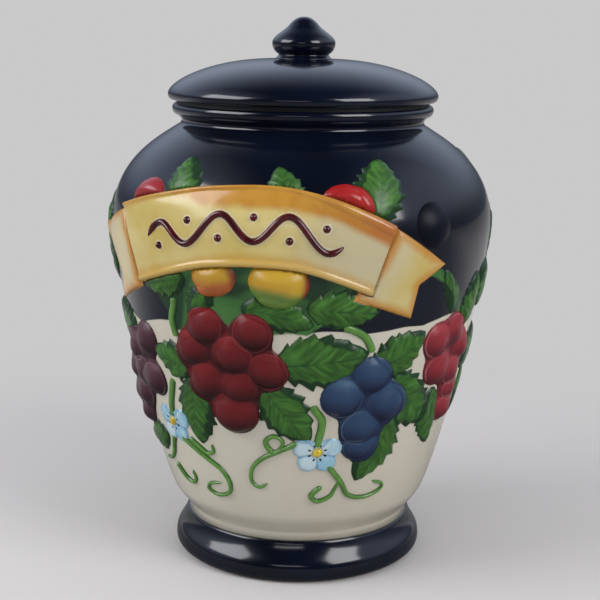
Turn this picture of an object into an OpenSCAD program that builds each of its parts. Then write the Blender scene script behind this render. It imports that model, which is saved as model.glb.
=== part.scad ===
// Biscuit jar of glazed earthenware: a pear-shaped jar on a foot ring, a domed lid with
// a turned knob and a seal ring, and a garland of fruit, leaves and a ribbon in relief.
// Millimetres, +Z up, origin at the centre of the underside, front of the jar towards -Y.
// A place on the wall is an azimuth, 0 at the front and growing towards +X, and a height
// above or below the level of the belly's largest radius.

/* [Jar body] */
// Radius of the straight waist above the foot ring
waist_r = 59.5; // [57:0.5:62]
// Height of the straight waist
waist_h = 4; // [3:0.5:5]
// Radius at the top of the rounded toe
toe_r = 68; // [66:0.5:72]
// Height of the rounded toe
toe_h = 12; // [10:1:15]
// Largest radius of the belly
belly_r = 99; // [96:0.5:103]
// Height of the largest radius above the underside
belly_z = 179; // [175:1:185]
// Radius where the shoulder meets the neck
shoulder_r = 66; // [64.5:0.5:67.5]
// Height from the largest radius to the neck
shoulder_h = 48; // [45:1:52]
// Thickness of the clay wall
wall_t = 5; // [4:0.5:6]
// Thickness of the floor
floor_t = 6; // [5:0.5:8]

/* [Mouth] */
// Radius of the bore of the mouth
mouth_r = 57.5; // [56.5:0.5:58.5]
// Smallest outer radius of the groove below the mouth bead
groove_r = 63; // [62:0.25:64]
// Height of the groove
groove_h = 6.5; // [5.5:0.5:8]
// Largest radius of the mouth bead
bead_r = 67.8; // [67:0.1:69]
// Height of the mouth bead
bead_h = 5; // [4:0.5:7]

/* [Foot ring] */
// Radius of the face that the jar stands on
foot_base_r = 60; // [57:0.5:62]
// Largest radius of the foot ring
foot_r = 66.5; // [65:0.5:70]
// Height of its largest radius
foot_bulge_z = 5.2; // [4:0.2:8]
// Height of the foot ring
foot_h = 21; // [18:1:25]
// Ledge of the foot ring around the waist
foot_ledge = 1; // [0.5:0.25:2]
// Radius of the hollow under the jar
foot_bore_r = 49; // [44:1:52]

/* [Seal ring] */
// Thickness of the flange between lid and mouth
seal_t = 2; // [1.5:0.25:3]
// Outer radius of the flange
seal_r = 65.5; // [62:0.5:66.5]
// Radial thickness of the sleeve
seal_sleeve_t = 2; // [1.5:0.1:2.4]
// Length of the sleeve below the flange
seal_sleeve_h = 9; // [7:0.5:11]
// Height of each lip around the sleeve
seal_lip_h = 1.4; // [1:0.2:2]

/* [Lid] */
// Largest radius of the lid
lid_r = 70; // [69:0.5:73]
// Height from the lid's seat to its largest radius
rim_h = 3; // [2.6:0.2:5]
// Rise of the dome above its largest radius
dome_rise = 18.1; // [16:0.1:21]
// Radius at which the side of the dome would reach its full height if it ran on straight
dome_side_r = 47.7; // [40:0.1:55]
// Height above the largest radius at which that straight side starts
dome_side_h = 6; // [4:0.5:8]
// Thickness of the dome
dome_t = 4.5; // [3.5:0.5:6]
// Outer radius of the locating flange
flange_r = 53; // [51:0.5:53.5]
// Thickness of the locating flange
flange_t = 5; // [4:0.5:6]
// Depth of the locating flange below the lid's seat
flange_h = 15; // [12:1:18]

/* [Knob] */
// Radius of the collar on the dome
knob_collar_r = 14.6; // [14:0.1:16]
// Height of the collar
knob_collar_h = 1.4; // [1:0.2:2]
// Radius of the neck of the knob
knob_neck_r = 13; // [12:0.2:13.4]
// Largest radius of the knob
knob_r = 16.3; // [15.5:0.1:18]
// Height from the dome to the knob's largest radius
knob_bulge_h = 8; // [7:0.2:9]
// Height of the knob above its seat on the dome
knob_h = 21.3; // [19.5:0.1:24]

/* [Relief] */
// Layer of slip between the wall and what is pressed onto it
slip_gap = 0.25; // [0.2:0.05:0.4]
// Height of a leaf above the wall
leaf_t = 2.4; // [1.6:0.2:3.2]
// Height of the ribbon's main panel above the wall
ribbon_t = 3.2; // [2.4:0.2:4]
// Extra height of the rolled edges of the ribbon
ribbon_roll = 1.2; // [0.6:0.2:2]
// Width of the rolled edges
ribbon_roll_w = 3.4; // [2:0.2:5]
// Height of the ribbon's tails above the wall
tail_t = 2.2; // [1.4:0.2:2.4]
// Height of the raised line ornament above the ribbon
line_h = 1.4; // [1:0.2:2]
// Width of the raised line ornament
line_w = 2.6; // [2:0.2:4]
// Height of a petal above the wall
petal_t = 1.6; // [1:0.2:2.4]
// Radius of one petal
petal_r = 5.2; // [4.5:0.1:6]
// Distance of a petal's centre from the blossom's centre
petal_reach = 6.4; // [5.5:0.1:7.5]
// Radius of a blossom's eye
eye_r = 2.6; // [2:0.1:3.2]
// Height of the eye above the petals
eye_rise = 1; // [0.6:0.2:2]
// Width of a tendril at its thick end
tendril_w = 3.4; // [2.4:0.2:4]
// Height of a tendril above the wall
tendril_h = 1.6; // [1:0.2:2.2]
// Width of a stem
stem_w = 4.2; // [3:0.2:5]

/* [Hidden] */
$fn = 48;

// Leaves: azimuth and height of the middle, length, width, turn of the tip from straight
// up, counterclockwise as seen from outside. Later leaves lie over earlier ones.
FRONT_LEAVES = [
    [7, -55, 46, 29, -84],
    [-4, -84, 38, 25, -144],
    [-43, -60, 32, 22, 84],
    [-36.3, -87, 38, 25, 178],
    [32, -53, 34, 24, -62],
    [40.5, -80, 43, 28, -130],
    [27.3, -103.8, 40, 26, 160],
    [52.5, -93, 34, 19, -168],
    [64, -34, 30, 20, -22],
    [49, -27, 27, 9, -156],
    [-73, -49, 34, 24, 62],
    [-68, -110, 30, 17, 98],
    [-38, 27, 30, 22, 8],
    [-5, 26, 26, 18, 16],
    [23, 26, 36, 26, -16],
    [-43, -22, 30, 18, 104],
    [-30, -31, 26, 15, 150],
    [-6.5, -33.8, 36, 20, -104],
    [12.5, -30.5, 36, 20, -95],
];
SPRAY_RIGHT = [
    [97, 6, 34, 23, -62], [81, -32, 36, 25, -130], [91, -15, 42, 24, -172],
    [103, 25, 32, 22, 12], [104, -23, 30, 21, -108], [79, -62, 36, 24, -70],
    [89, -92, 38, 25, -160],
];
SPRAY_BACK_RIGHT = [
    [101, -50, 36, 25, 96], [121, 24, 32, 24, 8], [121, -21, 30, 20, 165],
    [144, -50, 36, 26, -70], [104, -86, 36, 24, 150], [144, -84, 36, 24, -165],
];
SPRAY_BACK = [
    [142, 24, 30, 22, -18], [163, 25, 32, 24, 0], [185, 24, 32, 24, 12],
    [142, -22, 30, 20, -160], [163, -23, 32, 22, 168], [186, -24, 32, 22, -160],
    [203, -52, 36, 24, -75], [201, -84, 36, 24, -165], [158, -90, 34, 22, 160],
];
SPRAY_BACK_LEFT = [
    [206, 25, 32, 24, -15], [228, 24, 32, 24, 10], [228, -22, 32, 22, 170],
    [207, -24, 28, 20, 150], [214, -76, 34, 22, 96], [258, -52, 36, 26, -78],
    [216, -102, 34, 22, 150], [258, -88, 36, 24, -165],
];
SPRAY_LEFT = [
    [262, 5, 36, 24, 70], [249, 26, 32, 24, -10], [249, -20, 32, 22, 165],
    [277, -6, 32, 22, 10], [270, -25, 34, 24, 100], [267, -70, 34, 24, 78],
    [270, -104, 34, 22, 118],
];
SPRAYS = [SPRAY_RIGHT, SPRAY_BACK_RIGHT, SPRAY_BACK, SPRAY_BACK_LEFT, SPRAY_LEFT];
LEAVES = concat(FRONT_LEAVES, [for (spray = SPRAYS) each spray]);

// Bunches: azimuth and height of the middle, then each berry's distance to the right of
// the middle, distance above it, and radius
CRIMSON = [-21, -60, [
    [-13, 19, 9.5], [11.5, 18, 9.5], [-21.5, 7, 9.2], [1, 6, 10], [18, -1, 9.4],
    [-14.5, -9, 9.5], [3, -10, 9], [-0.5, -24, 11.5],
]];
BLUE = [21, -80, [
    [-11, 5, 10], [3, 16, 9.4], [12, 1, 10.4], [-0.5, -11, 9.4], [0.5, -21, 8.4],
]];
RED = [56, -65, [
    [-14.5, 14, 8.6], [-1, 18, 8], [9.5, 8, 8.8], [-9.5, -1, 9], [4.5, -4, 8.4],
    [7.5, -14, 7.8], [6.5, -25, 8.2],
]];
PLUM = [-66, -75, [
    [14, 20, 8.8], [0, 14, 9], [14.5, -1, 8.8], [3, 2, 9], [-10.5, 1, 9],
    [-3.5, -11, 9.2], [-16, -13, 9], [-10, -23, 8.6],
]];
BACK_LEFT = [236, -78, [
    [-8, 16, 9.5], [11, 18, 9.2], [-16.5, 3, 9], [1, 3, 9.6], [16.5, 4, 9],
    [-7.5, -10, 9.2], [9, -10, 9], [0.5, -22, 9],
]];
BACK_MIDDLE = [177, -70, [
    [-8, 15, 9.5], [11, 17, 9.2], [-17, 3, 9], [1, 2, 9.6], [17, 3, 9],
    [-7.5, -11, 9.2], [9, -11, 9], [0.5, -24, 9.4],
]];
BACK_RIGHT = [124, -82, [
    [-9.5, 16, 9.2], [8, 18, 9.4], [-16.5, 3, 9], [0, 3, 9.6], [15, 4, 9],
    [-7, -10, 9], [7, -10, 9], [0, -22, 8.8],
]];
BUNCHES = [CRIMSON, BLUE, RED, PLUM, BACK_LEFT, BACK_MIDDLE, BACK_RIGHT];
// How deep a berry's centre lies behind the wall's face
berry_sink = 2.5;
// Height of the bed of clay that carries a bunch, and how far it reaches past the berries
bed_t = 1.6;
bed_rim = 0.8;

// Round fruit: azimuth, height, radius, depth of the centre behind the wall's face
ROUND_FRUIT = [
    [-50.5, 18, 16, 10],
    [12.5, 17, 17, 11],
    [40, 8, 19, 14],
    [110, 3, 18, 11.5],
    [152, 4, 17, 11],
    [195, 4, 17, 11],
    [238, 3, 18, 11.5],
];
// Lemons: azimuth, height, half length, half width, turn out of the level
LEMONS = [
    [-25, -16, 16, 12, 8],
    [-6, -17, 18, 14, -4],
    [131, 4, 20, 14, -18],
    [173.5, 6, 20, 14, 10],
    [216.5, 4, 20, 14, -14],
];
// How deep a lemon's axis lies behind the wall's face
lemon_sink = 7;

// Blossoms: azimuth and height
BLOSSOMS = [[-50.5, -97], [6.6, -104], [142, -112], [224, -112]];

// Ribbon: azimuth of the middle, height of the top and of the bottom edge there
ribbon_az = -17.5;
ribbon_top_dz = 26.5;
ribbon_bottom_dz = -10;
// How much each edge plane falls away towards the jar's axis
ribbon_top_tilt = 37;
ribbon_bottom_tilt = 36.5;
// How much each edge plane drops towards the right
ribbon_top_roll = 1.6;
ribbon_bottom_roll = -1.9;
// Ends of the main panel: azimuth, height of the end's middle, lean of the end
RIBBON_LEFT = [-57, -6, 23];
RIBBON_RIGHT = [23.5, -9, -22];
// Corners of the tails: azimuth and height
TAIL_LEFT = [[-61, 11], [-84, -2], [-68, -23], [-73, -39], [-53.5, -27], [-57, -4]];
TAIL_RIGHT = [[27, 8], [45, -11.5], [35.5, -20.5], [34, -37], [14.5, -25], [22, -8]];

// Stems and tendrils: azimuth and height of points on the way
STEMS = [
    [[-40, -33], [-41.5, -40], [-41, -46]],
    [[-46, -73], [-47.5, -79], [-49, -84.5], [-50, -89.5]],
    [[5.8, -82.5], [7.6, -86.5], [7.6, -91.5], [6.9, -96.5]],
    [[16, -40.6], [19.5, -44.3], [21.5, -49.3]],
    [[128, -40], [124, -48], [125, -55]],
    [[236, -38], [240, -44], [238, -51]],
];
TENDRILS_FRONT = [
    [[-44, -107], [-36, -113], [-30, -118], [-27.3, -125], [-28.5, -131], [-34, -133.5],
        [-38.5, -131], [-36.5, -127.5], [-31, -126]],
    [[-39, -107], [-35, -110], [-32.4, -108.5], [-32.6, -104.5]],
    [[-3, -101], [-8, -104.5], [-13, -108.5], [-17, -114.5], [-17.8, -121.5], [-15, -125],
        [-11.5, -122.5]],
    [[12.5, -115], [16.5, -122], [20, -129.5], [27, -131.8], [33.5, -129.5], [34.8, -126],
        [29.5, -123]],
    [[9, -123.5], [5.2, -128.5], [7.5, -132], [12.5, -129.5], [14.3, -125]],
    [[-54, -110], [-56, -116], [-60, -121], [-66, -122.5]],
    [[-10.9, -101.6], [-11.2, -98.3], [-8.6, -95.6], [-5.9, -97.4], [-5.6, -100.6]],
    [[-56.5, -122.5], [-53.5, -126.5], [-50, -129.8], [-46.8, -130.3], [-45, -127],
        [-46, -123.2]],
];
TENDRILS_BACK = [
    [[136, -120], [130, -126], [124, -127], [122, -122], [126, -118.5]],
    [[232, -118], [238, -125], [245, -126], [247, -121], [243, -117.5]],
    [[178, -108], [174, -115], [176, -123], [183, -125], [187, -120], [184, -116]],
    [[96, -113], [99, -119.5], [105, -121.5], [108, -116]],
];

function names(stem, count) = [for (i = [1:count]) str(stem, i)];

// ---- Curves ----

// A point on a cubic curve with end points a, d and handles b, c
function cubic(a, b, c, d, t) =
    pow(1 - t, 3) * a + 3 * pow(1 - t, 2) * t * b + 3 * (1 - t) * t * t * c + pow(t, 3) * d;
// Points of that curve, with its first point left out unless whole is true
function cubic_points(a, b, c, d, steps, whole = false) =
    [for (i = [whole ? 0 : 1:steps]) cubic(a, b, c, d, i / steps)];
// Radius of the handles that carry a curve between two equal radii to the radius mid
function bulge_handle(end_r, mid_r) = (4 * mid_r - end_r) / 3;

// ---- Jar profile ----

toe_z = foot_h + waist_h + toe_h;
shoulder_z = belly_z + shoulder_h;
bead_z = shoulder_z + groove_h;
mouth_z = bead_z + bead_h;
// How far the mouth bead's top and bottom edges are drawn in from its largest radius
bead_round = 1.2;
// Growth of the radius for each millimetre of height where the toe ends
toe_slope = 0.42;
// Fall of height for each millimetre of radius where the shoulder ends
shoulder_slope = 1.5;

WALL = concat(
    cubic_points(
        [waist_r, toe_z - toe_h],
        [waist_r + 2, toe_z - 0.7 * toe_h],
        [toe_r - toe_slope * 4.5, toe_z - 4.5],
        [toe_r, toe_z], 5, true),
    cubic_points(
        [toe_r, toe_z],
        [toe_r + toe_slope * 30, toe_z + 30],
        [belly_r, belly_z - 20],
        [belly_r, belly_z], 12),
    cubic_points(
        [belly_r, belly_z],
        [belly_r, belly_z + 0.625 * shoulder_h],
        [shoulder_r + shoulder_slope * 6, shoulder_z - 6],
        [shoulder_r, shoulder_z], 12)
);
wall_last = len(WALL) - 1;
neck_mid_r = (shoulder_r + bead_r - bead_round) / 2;
NECK = concat(
    cubic_points(
        [shoulder_r, shoulder_z],
        [bulge_handle(neck_mid_r, groove_r), shoulder_z + groove_h * 0.3],
        [bulge_handle(neck_mid_r, groove_r), bead_z - groove_h * 0.35],
        [bead_r - bead_round, bead_z], 8),
    cubic_points(
        [bead_r - bead_round, bead_z],
        [bulge_handle(bead_r - bead_round, bead_r), bead_z + bead_h * 0.3],
        [bulge_handle(bead_r - bead_round, bead_r), mouth_z - bead_h * 0.2],
        [bead_r - bead_round, mouth_z], 6)
);

function direction(i) = WALL[min(i + 1, wall_last)] - WALL[max(i - 1, 0)];
function normal(i) = [direction(i)[1], -direction(i)[0]] / norm(direction(i));
// Profile of the wall moved outwards by h
function wall_offset(h, from = 0, to = wall_last) =
    [for (i = [from:to]) WALL[i] + h * normal(i)];
RADIUS_AT = [for (p = WALL) [p[1], p[0]]];
TILT_AT = [for (i = [0:wall_last]) [WALL[i][1], atan2(normal(i)[1], normal(i)[0])]];
function wall_r(dz) = lookup(belly_z + dz, RADIUS_AT);
function wall_tilt(dz) = lookup(belly_z + dz, TILT_AT);
// Number of profile points below a height
function below(dz) = len([for (p = WALL) if (p[1] < belly_z + dz) 1]);

// A point at height h above the wall
function wall_point(az, dz, h) =
    let (out = wall_r(dz) + h * cos(wall_tilt(dz)))
    [out * sin(az), -out * cos(az), belly_z + dz + h * sin(wall_tilt(dz))];
// The same point of the wall as seen in the frame that on_wall() makes at another place
function wall_xy(az, dz, p) =
    let (d = wall_point(p[0], p[1], 0) - wall_point(az, dz, 0))
    let (tilt = wall_tilt(dz))
    [
        d[0] * cos(az) + d[1] * sin(az),
        (d[1] * cos(az) - d[0] * sin(az)) * sin(tilt) + d[2] * cos(tilt)
    ];

// Moves its children onto the wall: x along the wall to the right, y up, z outwards
module on_wall(az, dz, h = 0) {
    translate(wall_point(az, dz, h))
        rotate([0, 0, az])
            rotate([90 - wall_tilt(dz), 0, 0])
                children();
}

// Part of the space between two heights above the wall
module skin(h0, h1, az, half_az, dz_low, dz_high) {
    from = max(0, below(dz_low) - 2);
    to = min(wall_last, below(dz_high) + 1);
    rotate([0, 0, az - half_az - 90])
        rotate_extrude(angle = 2 * half_az, $fn = 96)
            polygon(concat(
                wall_offset(h1, from, to),
                [for (i = [to:-1:from]) WALL[i] + h0 * normal(i)]));
}

// Everything behind the face that the relief is pressed onto
module behind_slip(az, half_az) {
    rotate([0, 0, az - half_az - 90])
        rotate_extrude(angle = 2 * half_az, $fn = 96)
            polygon(concat(
                [[0, WALL[0][1]]], wall_offset(slip_gap), [[0, WALL[wall_last][1]]]));
}

// ---- Relief outlines ----

// How far the cutters reach to each side of the wall's face
reach = 14;

// Outline of a leaf with saw teeth, its middle at the origin and its tip towards +y
leaf_teeth = 5;
tooth_depth = 0.12;
function leaf_half_width(s, width) = width / 2 * pow(sin(180 * pow(s, 0.8)), 0.85);
function leaf_side(length, width) = [
    for (i = [1:leaf_teeth], k = [0, 1])
        let (s = (i - 0.55 + 0.35 * k) / (leaf_teeth + 0.4))
        [leaf_half_width(s, width) * (k == 0 ? 1 : 1 - tooth_depth * 2),
            (s - 0.5) * length]
];
function leaf_outline(length, width) =
    let (side = leaf_side(length, width))
    concat(
        [[0, -length / 2]], side, [[0, length / 2]],
        [for (i = [len(side) - 1:-1:0]) [-side[i][0], side[i][1]]]);

module leaf_prism(leaf, grow = 1) {
    on_wall(leaf[0], leaf[1], -reach)
        rotate([0, 0, leaf[4]])
            linear_extrude(2 * reach)
                scale(grow)
                    polygon(leaf_outline(leaf[2], leaf[3]));
}

// Radius of the circle around a blossom
blossom_r = petal_reach + petal_r;

module blossom_prism(place, radius) {
    on_wall(place[0], place[1], -reach)
        cylinder(r = radius, h = 2 * reach);
}

module berry(place) {
    on_wall(place[0], place[1], -berry_sink)
        sphere(r = place[2], $fn = 32);
}

// What a berry and the bed around it take out of a leaf
module berry_prism(place, grow) {
    on_wall(place[0], place[1], -reach)
        cylinder(r = place[2] + grow, h = 2 * reach, $fn = 32);
}

module round_fruit(place, grow = 0) {
    on_wall(place[0], place[1], -place[3])
        sphere(r = place[2] + grow, $fn = 48);
}

// A lemon is an arc spun about its chord
module lemon(place, grow = 0) {
    half_l = place[2] + grow;
    half_w = place[3] + grow;
    arc_r = (half_l * half_l / half_w + half_w) / 2;
    on_wall(place[0], place[1], -lemon_sink)
        rotate([0, 0, place[4]])
            rotate([0, 90, 0])
                rotate_extrude($fn = 48)
                    intersection() {
                        translate([half_w - arc_r, 0])
                            circle(r = arc_r, $fn = 96);
                        translate([0, -half_l])
                            square([half_w, 2 * half_l]);
                    }
}

// Straight distance over the wall between two places
function wall_gap(a, b) = norm(wall_point(a[0], a[1], 0) - wall_point(b[0], b[1], 0));
// Azimuth that lies a distance to the right of another one at a height
function azimuth_beside(az, distance, dz) = az + distance / wall_r(dz) * 180 / PI;
// Azimuth, height and radius of each berry of a bunch
function berries(bunch) = [
    for (b = bunch[2])
        let (dz = bunch[1] + b[1])
        [azimuth_beside(bunch[0], b[0], dz), dz, b[2]]
];
// Lowest and highest of one coordinate in a list of places, widened by a margin
function lowest(places, k, margin = 0) = min([for (p = places) p[k]]) - margin;
function highest(places, k, margin = 0) = max([for (p = places) p[k]]) + margin;

// ---- Ribbon ----

huge = 400;
ribbon_front_dz = (ribbon_top_dz + ribbon_bottom_dz) / 2;

// Moves its children to an edge plane of the ribbon, y along the plane towards the axis
module at_edge(dz, tilt, roll) {
    rotate([0, 0, ribbon_az])
        translate([0, -wall_r(dz), belly_z + dz])
            rotate([-tilt, roll, 0])
                children();
}

// Space between the edge planes and the end planes, moved outwards by grow
module ribbon_zone(grow = 0, inset = 0) {
    edge = grow - inset;
    intersection() {
        at_edge(ribbon_top_dz, ribbon_top_tilt, ribbon_top_roll)
            translate([-huge / 2, -huge / 2, edge - huge])
                cube(huge);
        at_edge(ribbon_bottom_dz, ribbon_bottom_tilt, ribbon_bottom_roll)
            translate([-huge / 2, -huge / 2, -edge])
                cube(huge);
        on_wall(RIBBON_LEFT[0], RIBBON_LEFT[1])
            rotate([0, 0, RIBBON_LEFT[2]])
                translate([-grow, -huge / 2, -huge / 2])
                    cube(huge);
        on_wall(RIBBON_RIGHT[0], RIBBON_RIGHT[1])
            rotate([0, 0, RIBBON_RIGHT[2]])
                translate([grow - huge, -huge / 2, -huge / 2])
                    cube(huge);
    }
}

// Half the azimuth that the ribbon's panel may take up, and its lowest and highest level
ribbon_half_az = 70;
ribbon_low_dz = lowest([RIBBON_LEFT, RIBBON_RIGHT], 1) - (ribbon_top_dz - ribbon_bottom_dz);
ribbon_high_dz = ribbon_top_dz + reach;

module ribbon_skin(h0, h1) {
    skin(h0, h1, ribbon_az, ribbon_half_az, ribbon_low_dz, ribbon_high_dz);
}

// Whether a piece of a size at a place can reach the ribbon's panel
function near_ribbon(place, size) =
    abs(place[0] - ribbon_az) < ribbon_half_az && place[1] + size > ribbon_low_dz;

module ribbon_panel() {
    color("khaki")
        difference() {
            intersection() {
                ribbon_skin(slip_gap, ribbon_t + ribbon_roll);
                ribbon_zone();
            }
            intersection() {
                ribbon_skin(ribbon_t, ribbon_t + 3 * ribbon_roll);
                ribbon_zone(1, ribbon_roll_w + 1);
            }
        }
}

function tail_middle(tail) = [
    (tail[0][0] + tail[2][0] + tail[4][0]) / 3,
    (tail[0][1] + tail[2][1] + tail[4][1]) / 3
];
// Farthest corner of a tail from its middle
function tail_size(tail) = max([for (p = tail) wall_gap(p, tail_middle(tail))]);

module tail_prism(tail, grow = 1) {
    middle = tail_middle(tail);
    on_wall(middle[0], middle[1], -reach)
        linear_extrude(2 * reach)
            scale(grow)
                polygon([for (p = tail) wall_xy(middle[0], middle[1], p)]);
}

// Share by which the cutter of a tail is larger than the tail
tail_clear = 1.02;

module ribbon_tail(tail) {
    color("goldenrod")
        difference() {
            intersection() {
                skin(
                    slip_gap, tail_t, tail_middle(tail)[0],
                    highest(tail, 0) - lowest(tail, 0),
                    lowest(tail, 1, reach), highest(tail, 1, reach));
                tail_prism(tail);
            }
            ribbon_zone(slip_gap);
        }
}

// Height of the middle line of the ribbon at an azimuth
ribbon_fall = wall_r(ribbon_front_dz) * tan((ribbon_top_tilt + ribbon_bottom_tilt) / 2);
function ribbon_mid_dz(az) = ribbon_front_dz - ribbon_fall * (1 - cos(az - ribbon_az));

// ---- Rolled coils of clay ----

// Points of a smooth curve through a list of places
coil_steps = 4;
function spline(a, b, c, d, t) =
    0.5 * (2 * b + (c - a) * t + (2 * a - 5 * b + 4 * c - d) * t * t
        + (3 * b - a - 3 * c + d) * t * t * t);
function smooth_path(path, steps) =
    let (last = len(path) - 1)
    concat(
        [for (i = [0:last - 1], k = [0:steps - 1])
            spline(path[max(i - 1, 0)], path[i], path[i + 1], path[min(i + 2, last)], k / steps)],
        [path[last]]);

// Section of a coil: x across it and y above the wall, as shares of width and height
SECTION = [[-0.5, 0], [-0.42, 0.6], [0, 1], [0.42, 0.6], [0.5, 0]];

// Unit vector along the wall from one place to the next
function step_along(a, b) =
    let (d = wall_point(b[0], b[1], 0) - wall_point(a[0], a[1], 0))
    d / norm(d);

// A coil of clay that lies on the wall at height base and tapers from w0 to w1
module coil(path, w0, w1, height, base) {
    last = len(path) - 1;
    sides = len(SECTION);
    points = [
        for (i = [0:last], s = SECTION)
            let (along = step_along(path[max(i - 1, 0)], path[min(i + 1, last)]))
            let (out = wall_point(path[i][0], path[i][1], 1)
                - wall_point(path[i][0], path[i][1], 0))
            let (across = cross(along, out))
            let (width = w0 + (w1 - w0) * i / last)
            wall_point(path[i][0], path[i][1], base + s[1] * height * min(1, width / w0 + 0.2))
                + across * s[0] * width
    ];
    sheets = [
        for (i = [0:last - 1], k = [0:sides - 1])
            let (a = i * sides + k)
            let (b = i * sides + (k + 1) % sides)
            each [[a, a + sides, b + sides], [a, b + sides, b]]
    ];
    first_cap = [for (k = [0:sides - 1]) k];
    last_cap = [for (k = [sides - 1:-1:0]) last * sides + k];
    polyhedron(points, concat(sheets, [first_cap, last_cap]));
}

module coils(paths, w0, w1) {
    for (path = paths)
        coil(smooth_path(path, coil_steps), w0, w1, tendril_h, slip_gap);
}

// ---- Sub-parts ----

module jar_body() {
    floor_z = foot_h + floor_t;
    hollow = [for (p = wall_offset(-wall_t)) if (p[1] > floor_z + 4) p];
    color("ivory")
        rotate_extrude($fn = 128)
            polygon(concat(
                [[0, foot_h], [waist_r, foot_h]],
                WALL,
                NECK,
                [[mouth_r, mouth_z], [mouth_r, shoulder_z - 1]],
                [for (i = [len(hollow) - 1:-1:0]) hollow[i]],
                [[hollow[0][0] - 4, floor_z], [0, floor_z]]));
}

module foot_ring() {
    bulge = [foot_r, foot_bulge_z];
    top_r = waist_r + foot_ledge;
    color("midnightblue")
        rotate_extrude($fn = 128)
            polygon(concat(
                cubic_points(
                    [foot_base_r, 0],
                    [foot_r - 2.2, 0],
                    [foot_r, foot_bulge_z * 0.45],
                    bulge, 6, true),
                cubic_points(
                    bulge,
                    [foot_r, foot_bulge_z + 0.46 * (foot_h - foot_bulge_z)],
                    [top_r + 2.6, foot_h - 0.6 * (foot_h - foot_bulge_z)],
                    [top_r, foot_h], 8),
                [[foot_bore_r, foot_h], [foot_bore_r, 0]]));
}

lid_seat_z = mouth_z + seal_t;
// Clearance of the seal's sleeve on the lid's flange
sleeve_gap = 0.3;
// Clearance of the seal's lips in the mouth
lip_gap = 0.3;

module seal_ring() {
    inner_r = flange_r + sleeve_gap;
    sleeve_r = inner_r + seal_sleeve_t;
    lip_r = mouth_r - lip_gap;
    low = mouth_z - seal_sleeve_h;
    color([0.12, 0.12, 0.13])
        rotate_extrude($fn = 128)
            polygon([
                [inner_r, low], [sleeve_r, low],
                [sleeve_r, low + seal_lip_h],
                [lip_r, low + 1.4 * seal_lip_h], [lip_r, low + 2 * seal_lip_h],
                [sleeve_r, low + 2.4 * seal_lip_h],
                [sleeve_r, mouth_z - 2 * seal_lip_h],
                [lip_r, mouth_z - 1.6 * seal_lip_h], [lip_r, mouth_z - seal_lip_h],
                [sleeve_r, mouth_z - 0.6 * seal_lip_h],
                [sleeve_r, mouth_z], [seal_r, mouth_z],
                [seal_r, lid_seat_z], [inner_r, lid_seat_z]
            ]);
}

rim_z = lid_seat_z + rim_h;
knob_seat_z = rim_z + dome_rise;

module lid_dome() {
    hollow_r = flange_r - flange_t;
    ceiling_r = lid_r - dome_t;
    ceiling_rise = dome_rise - dome_t;
    hollow_angle = acos(hollow_r / ceiling_r);
    color("midnightblue")
        rotate_extrude($fn = 128)
            polygon(concat(
                [[flange_r, lid_seat_z]],
                cubic_points(
                    [lid_r - 2.5, lid_seat_z],
                    [lid_r - 0.8, lid_seat_z],
                    [lid_r, lid_seat_z + rim_h * 0.4],
                    [lid_r, rim_z], 5, true),
                cubic_points(
                    [lid_r, rim_z],
                    [lid_r, rim_z + dome_side_h],
                    [dome_side_r, knob_seat_z],
                    [knob_collar_r, knob_seat_z], 14),
                [[0, knob_seat_z]],
                [for (i = [0:6])
                    let (a = 90 + (hollow_angle - 90) * i / 6)
                    [ceiling_r * cos(a), rim_z + ceiling_rise * sin(a)]],
                [[hollow_r, lid_seat_z - flange_h], [flange_r, lid_seat_z - flange_h]]));
}

module lid_knob() {
    collar_top_r = knob_neck_r + 0.4;
    groove_z = knob_collar_h + 1;
    translate([0, 0, knob_seat_z])
        color("midnightblue")
            rotate_extrude($fn = 96)
                polygon(concat(
                    [[0, 0]],
                    cubic_points(
                        [knob_collar_r, 0],
                        [knob_collar_r - 0.4, knob_collar_h * 0.5],
                        [collar_top_r + 0.3, knob_collar_h * 0.6],
                        [collar_top_r, knob_collar_h], 4, true),
                    [[knob_neck_r, groove_z]],
                    cubic_points(
                        [knob_neck_r, groove_z],
                        [knob_neck_r + 1.6, groove_z + 1],
                        [knob_r, knob_bulge_h - 3],
                        [knob_r, knob_bulge_h], 6),
                    cubic_points(
                        [knob_r, knob_bulge_h],
                        [knob_r, knob_bulge_h + 3.4],
                        [knob_r * 0.62, knob_bulge_h + 6.2],
                        [knob_r * 0.5, knob_h - 4.8], 8),
                    cubic_points(
                        [knob_r * 0.5, knob_h - 4.8],
                        [knob_r * 0.39, knob_h - 2.8],
                        [knob_r * 0.27, knob_h],
                        [0, knob_h], 5)));
}

// Half the azimuth of the cutters behind a bunch or a fruit
behind_half_az = 40;

module grapes(bunch, colour) {
    places = berries(bunch);
    color(colour) {
        difference() {
            union()
                for (b = places)
                    berry(b);
            behind_slip(bunch[0], behind_half_az);
        }
        intersection() {
            skin(
                slip_gap, bed_t, bunch[0], behind_half_az,
                lowest(places, 1, reach), highest(places, 1, reach));
            union()
                for (b = places)
                    berry_prism(b, bed_rim);
        }
    }
}

module fruit(place, colour) {
    color(colour)
        difference() {
            round_fruit(place);
            behind_slip(place[0], behind_half_az);
            if (near_ribbon(place, place[2]))
                ribbon_zone(slip_gap);
            if (wall_gap(place, tail_middle(TAIL_RIGHT)) < place[2] + tail_size(TAIL_RIGHT))
                tail_prism(TAIL_RIGHT, tail_clear);
        }
}

module lemon_fruit(place) {
    neighbours = [for (o = LEMONS) if (o[0] < place[0] && wall_gap(o, place) < o[2] + place[2]) o];
    apples = [for (f = ROUND_FRUIT) if (wall_gap(f, place) < place[2] + f[2]) f];
    color("gold")
        difference() {
            lemon(place);
            behind_slip(place[0], behind_half_az);
            if (near_ribbon(place, place[2]))
                ribbon_zone(slip_gap);
            for (o = neighbours)
                lemon(o, slip_gap);
            for (f = apples)
                round_fruit(f, slip_gap);
        }
}

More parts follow.
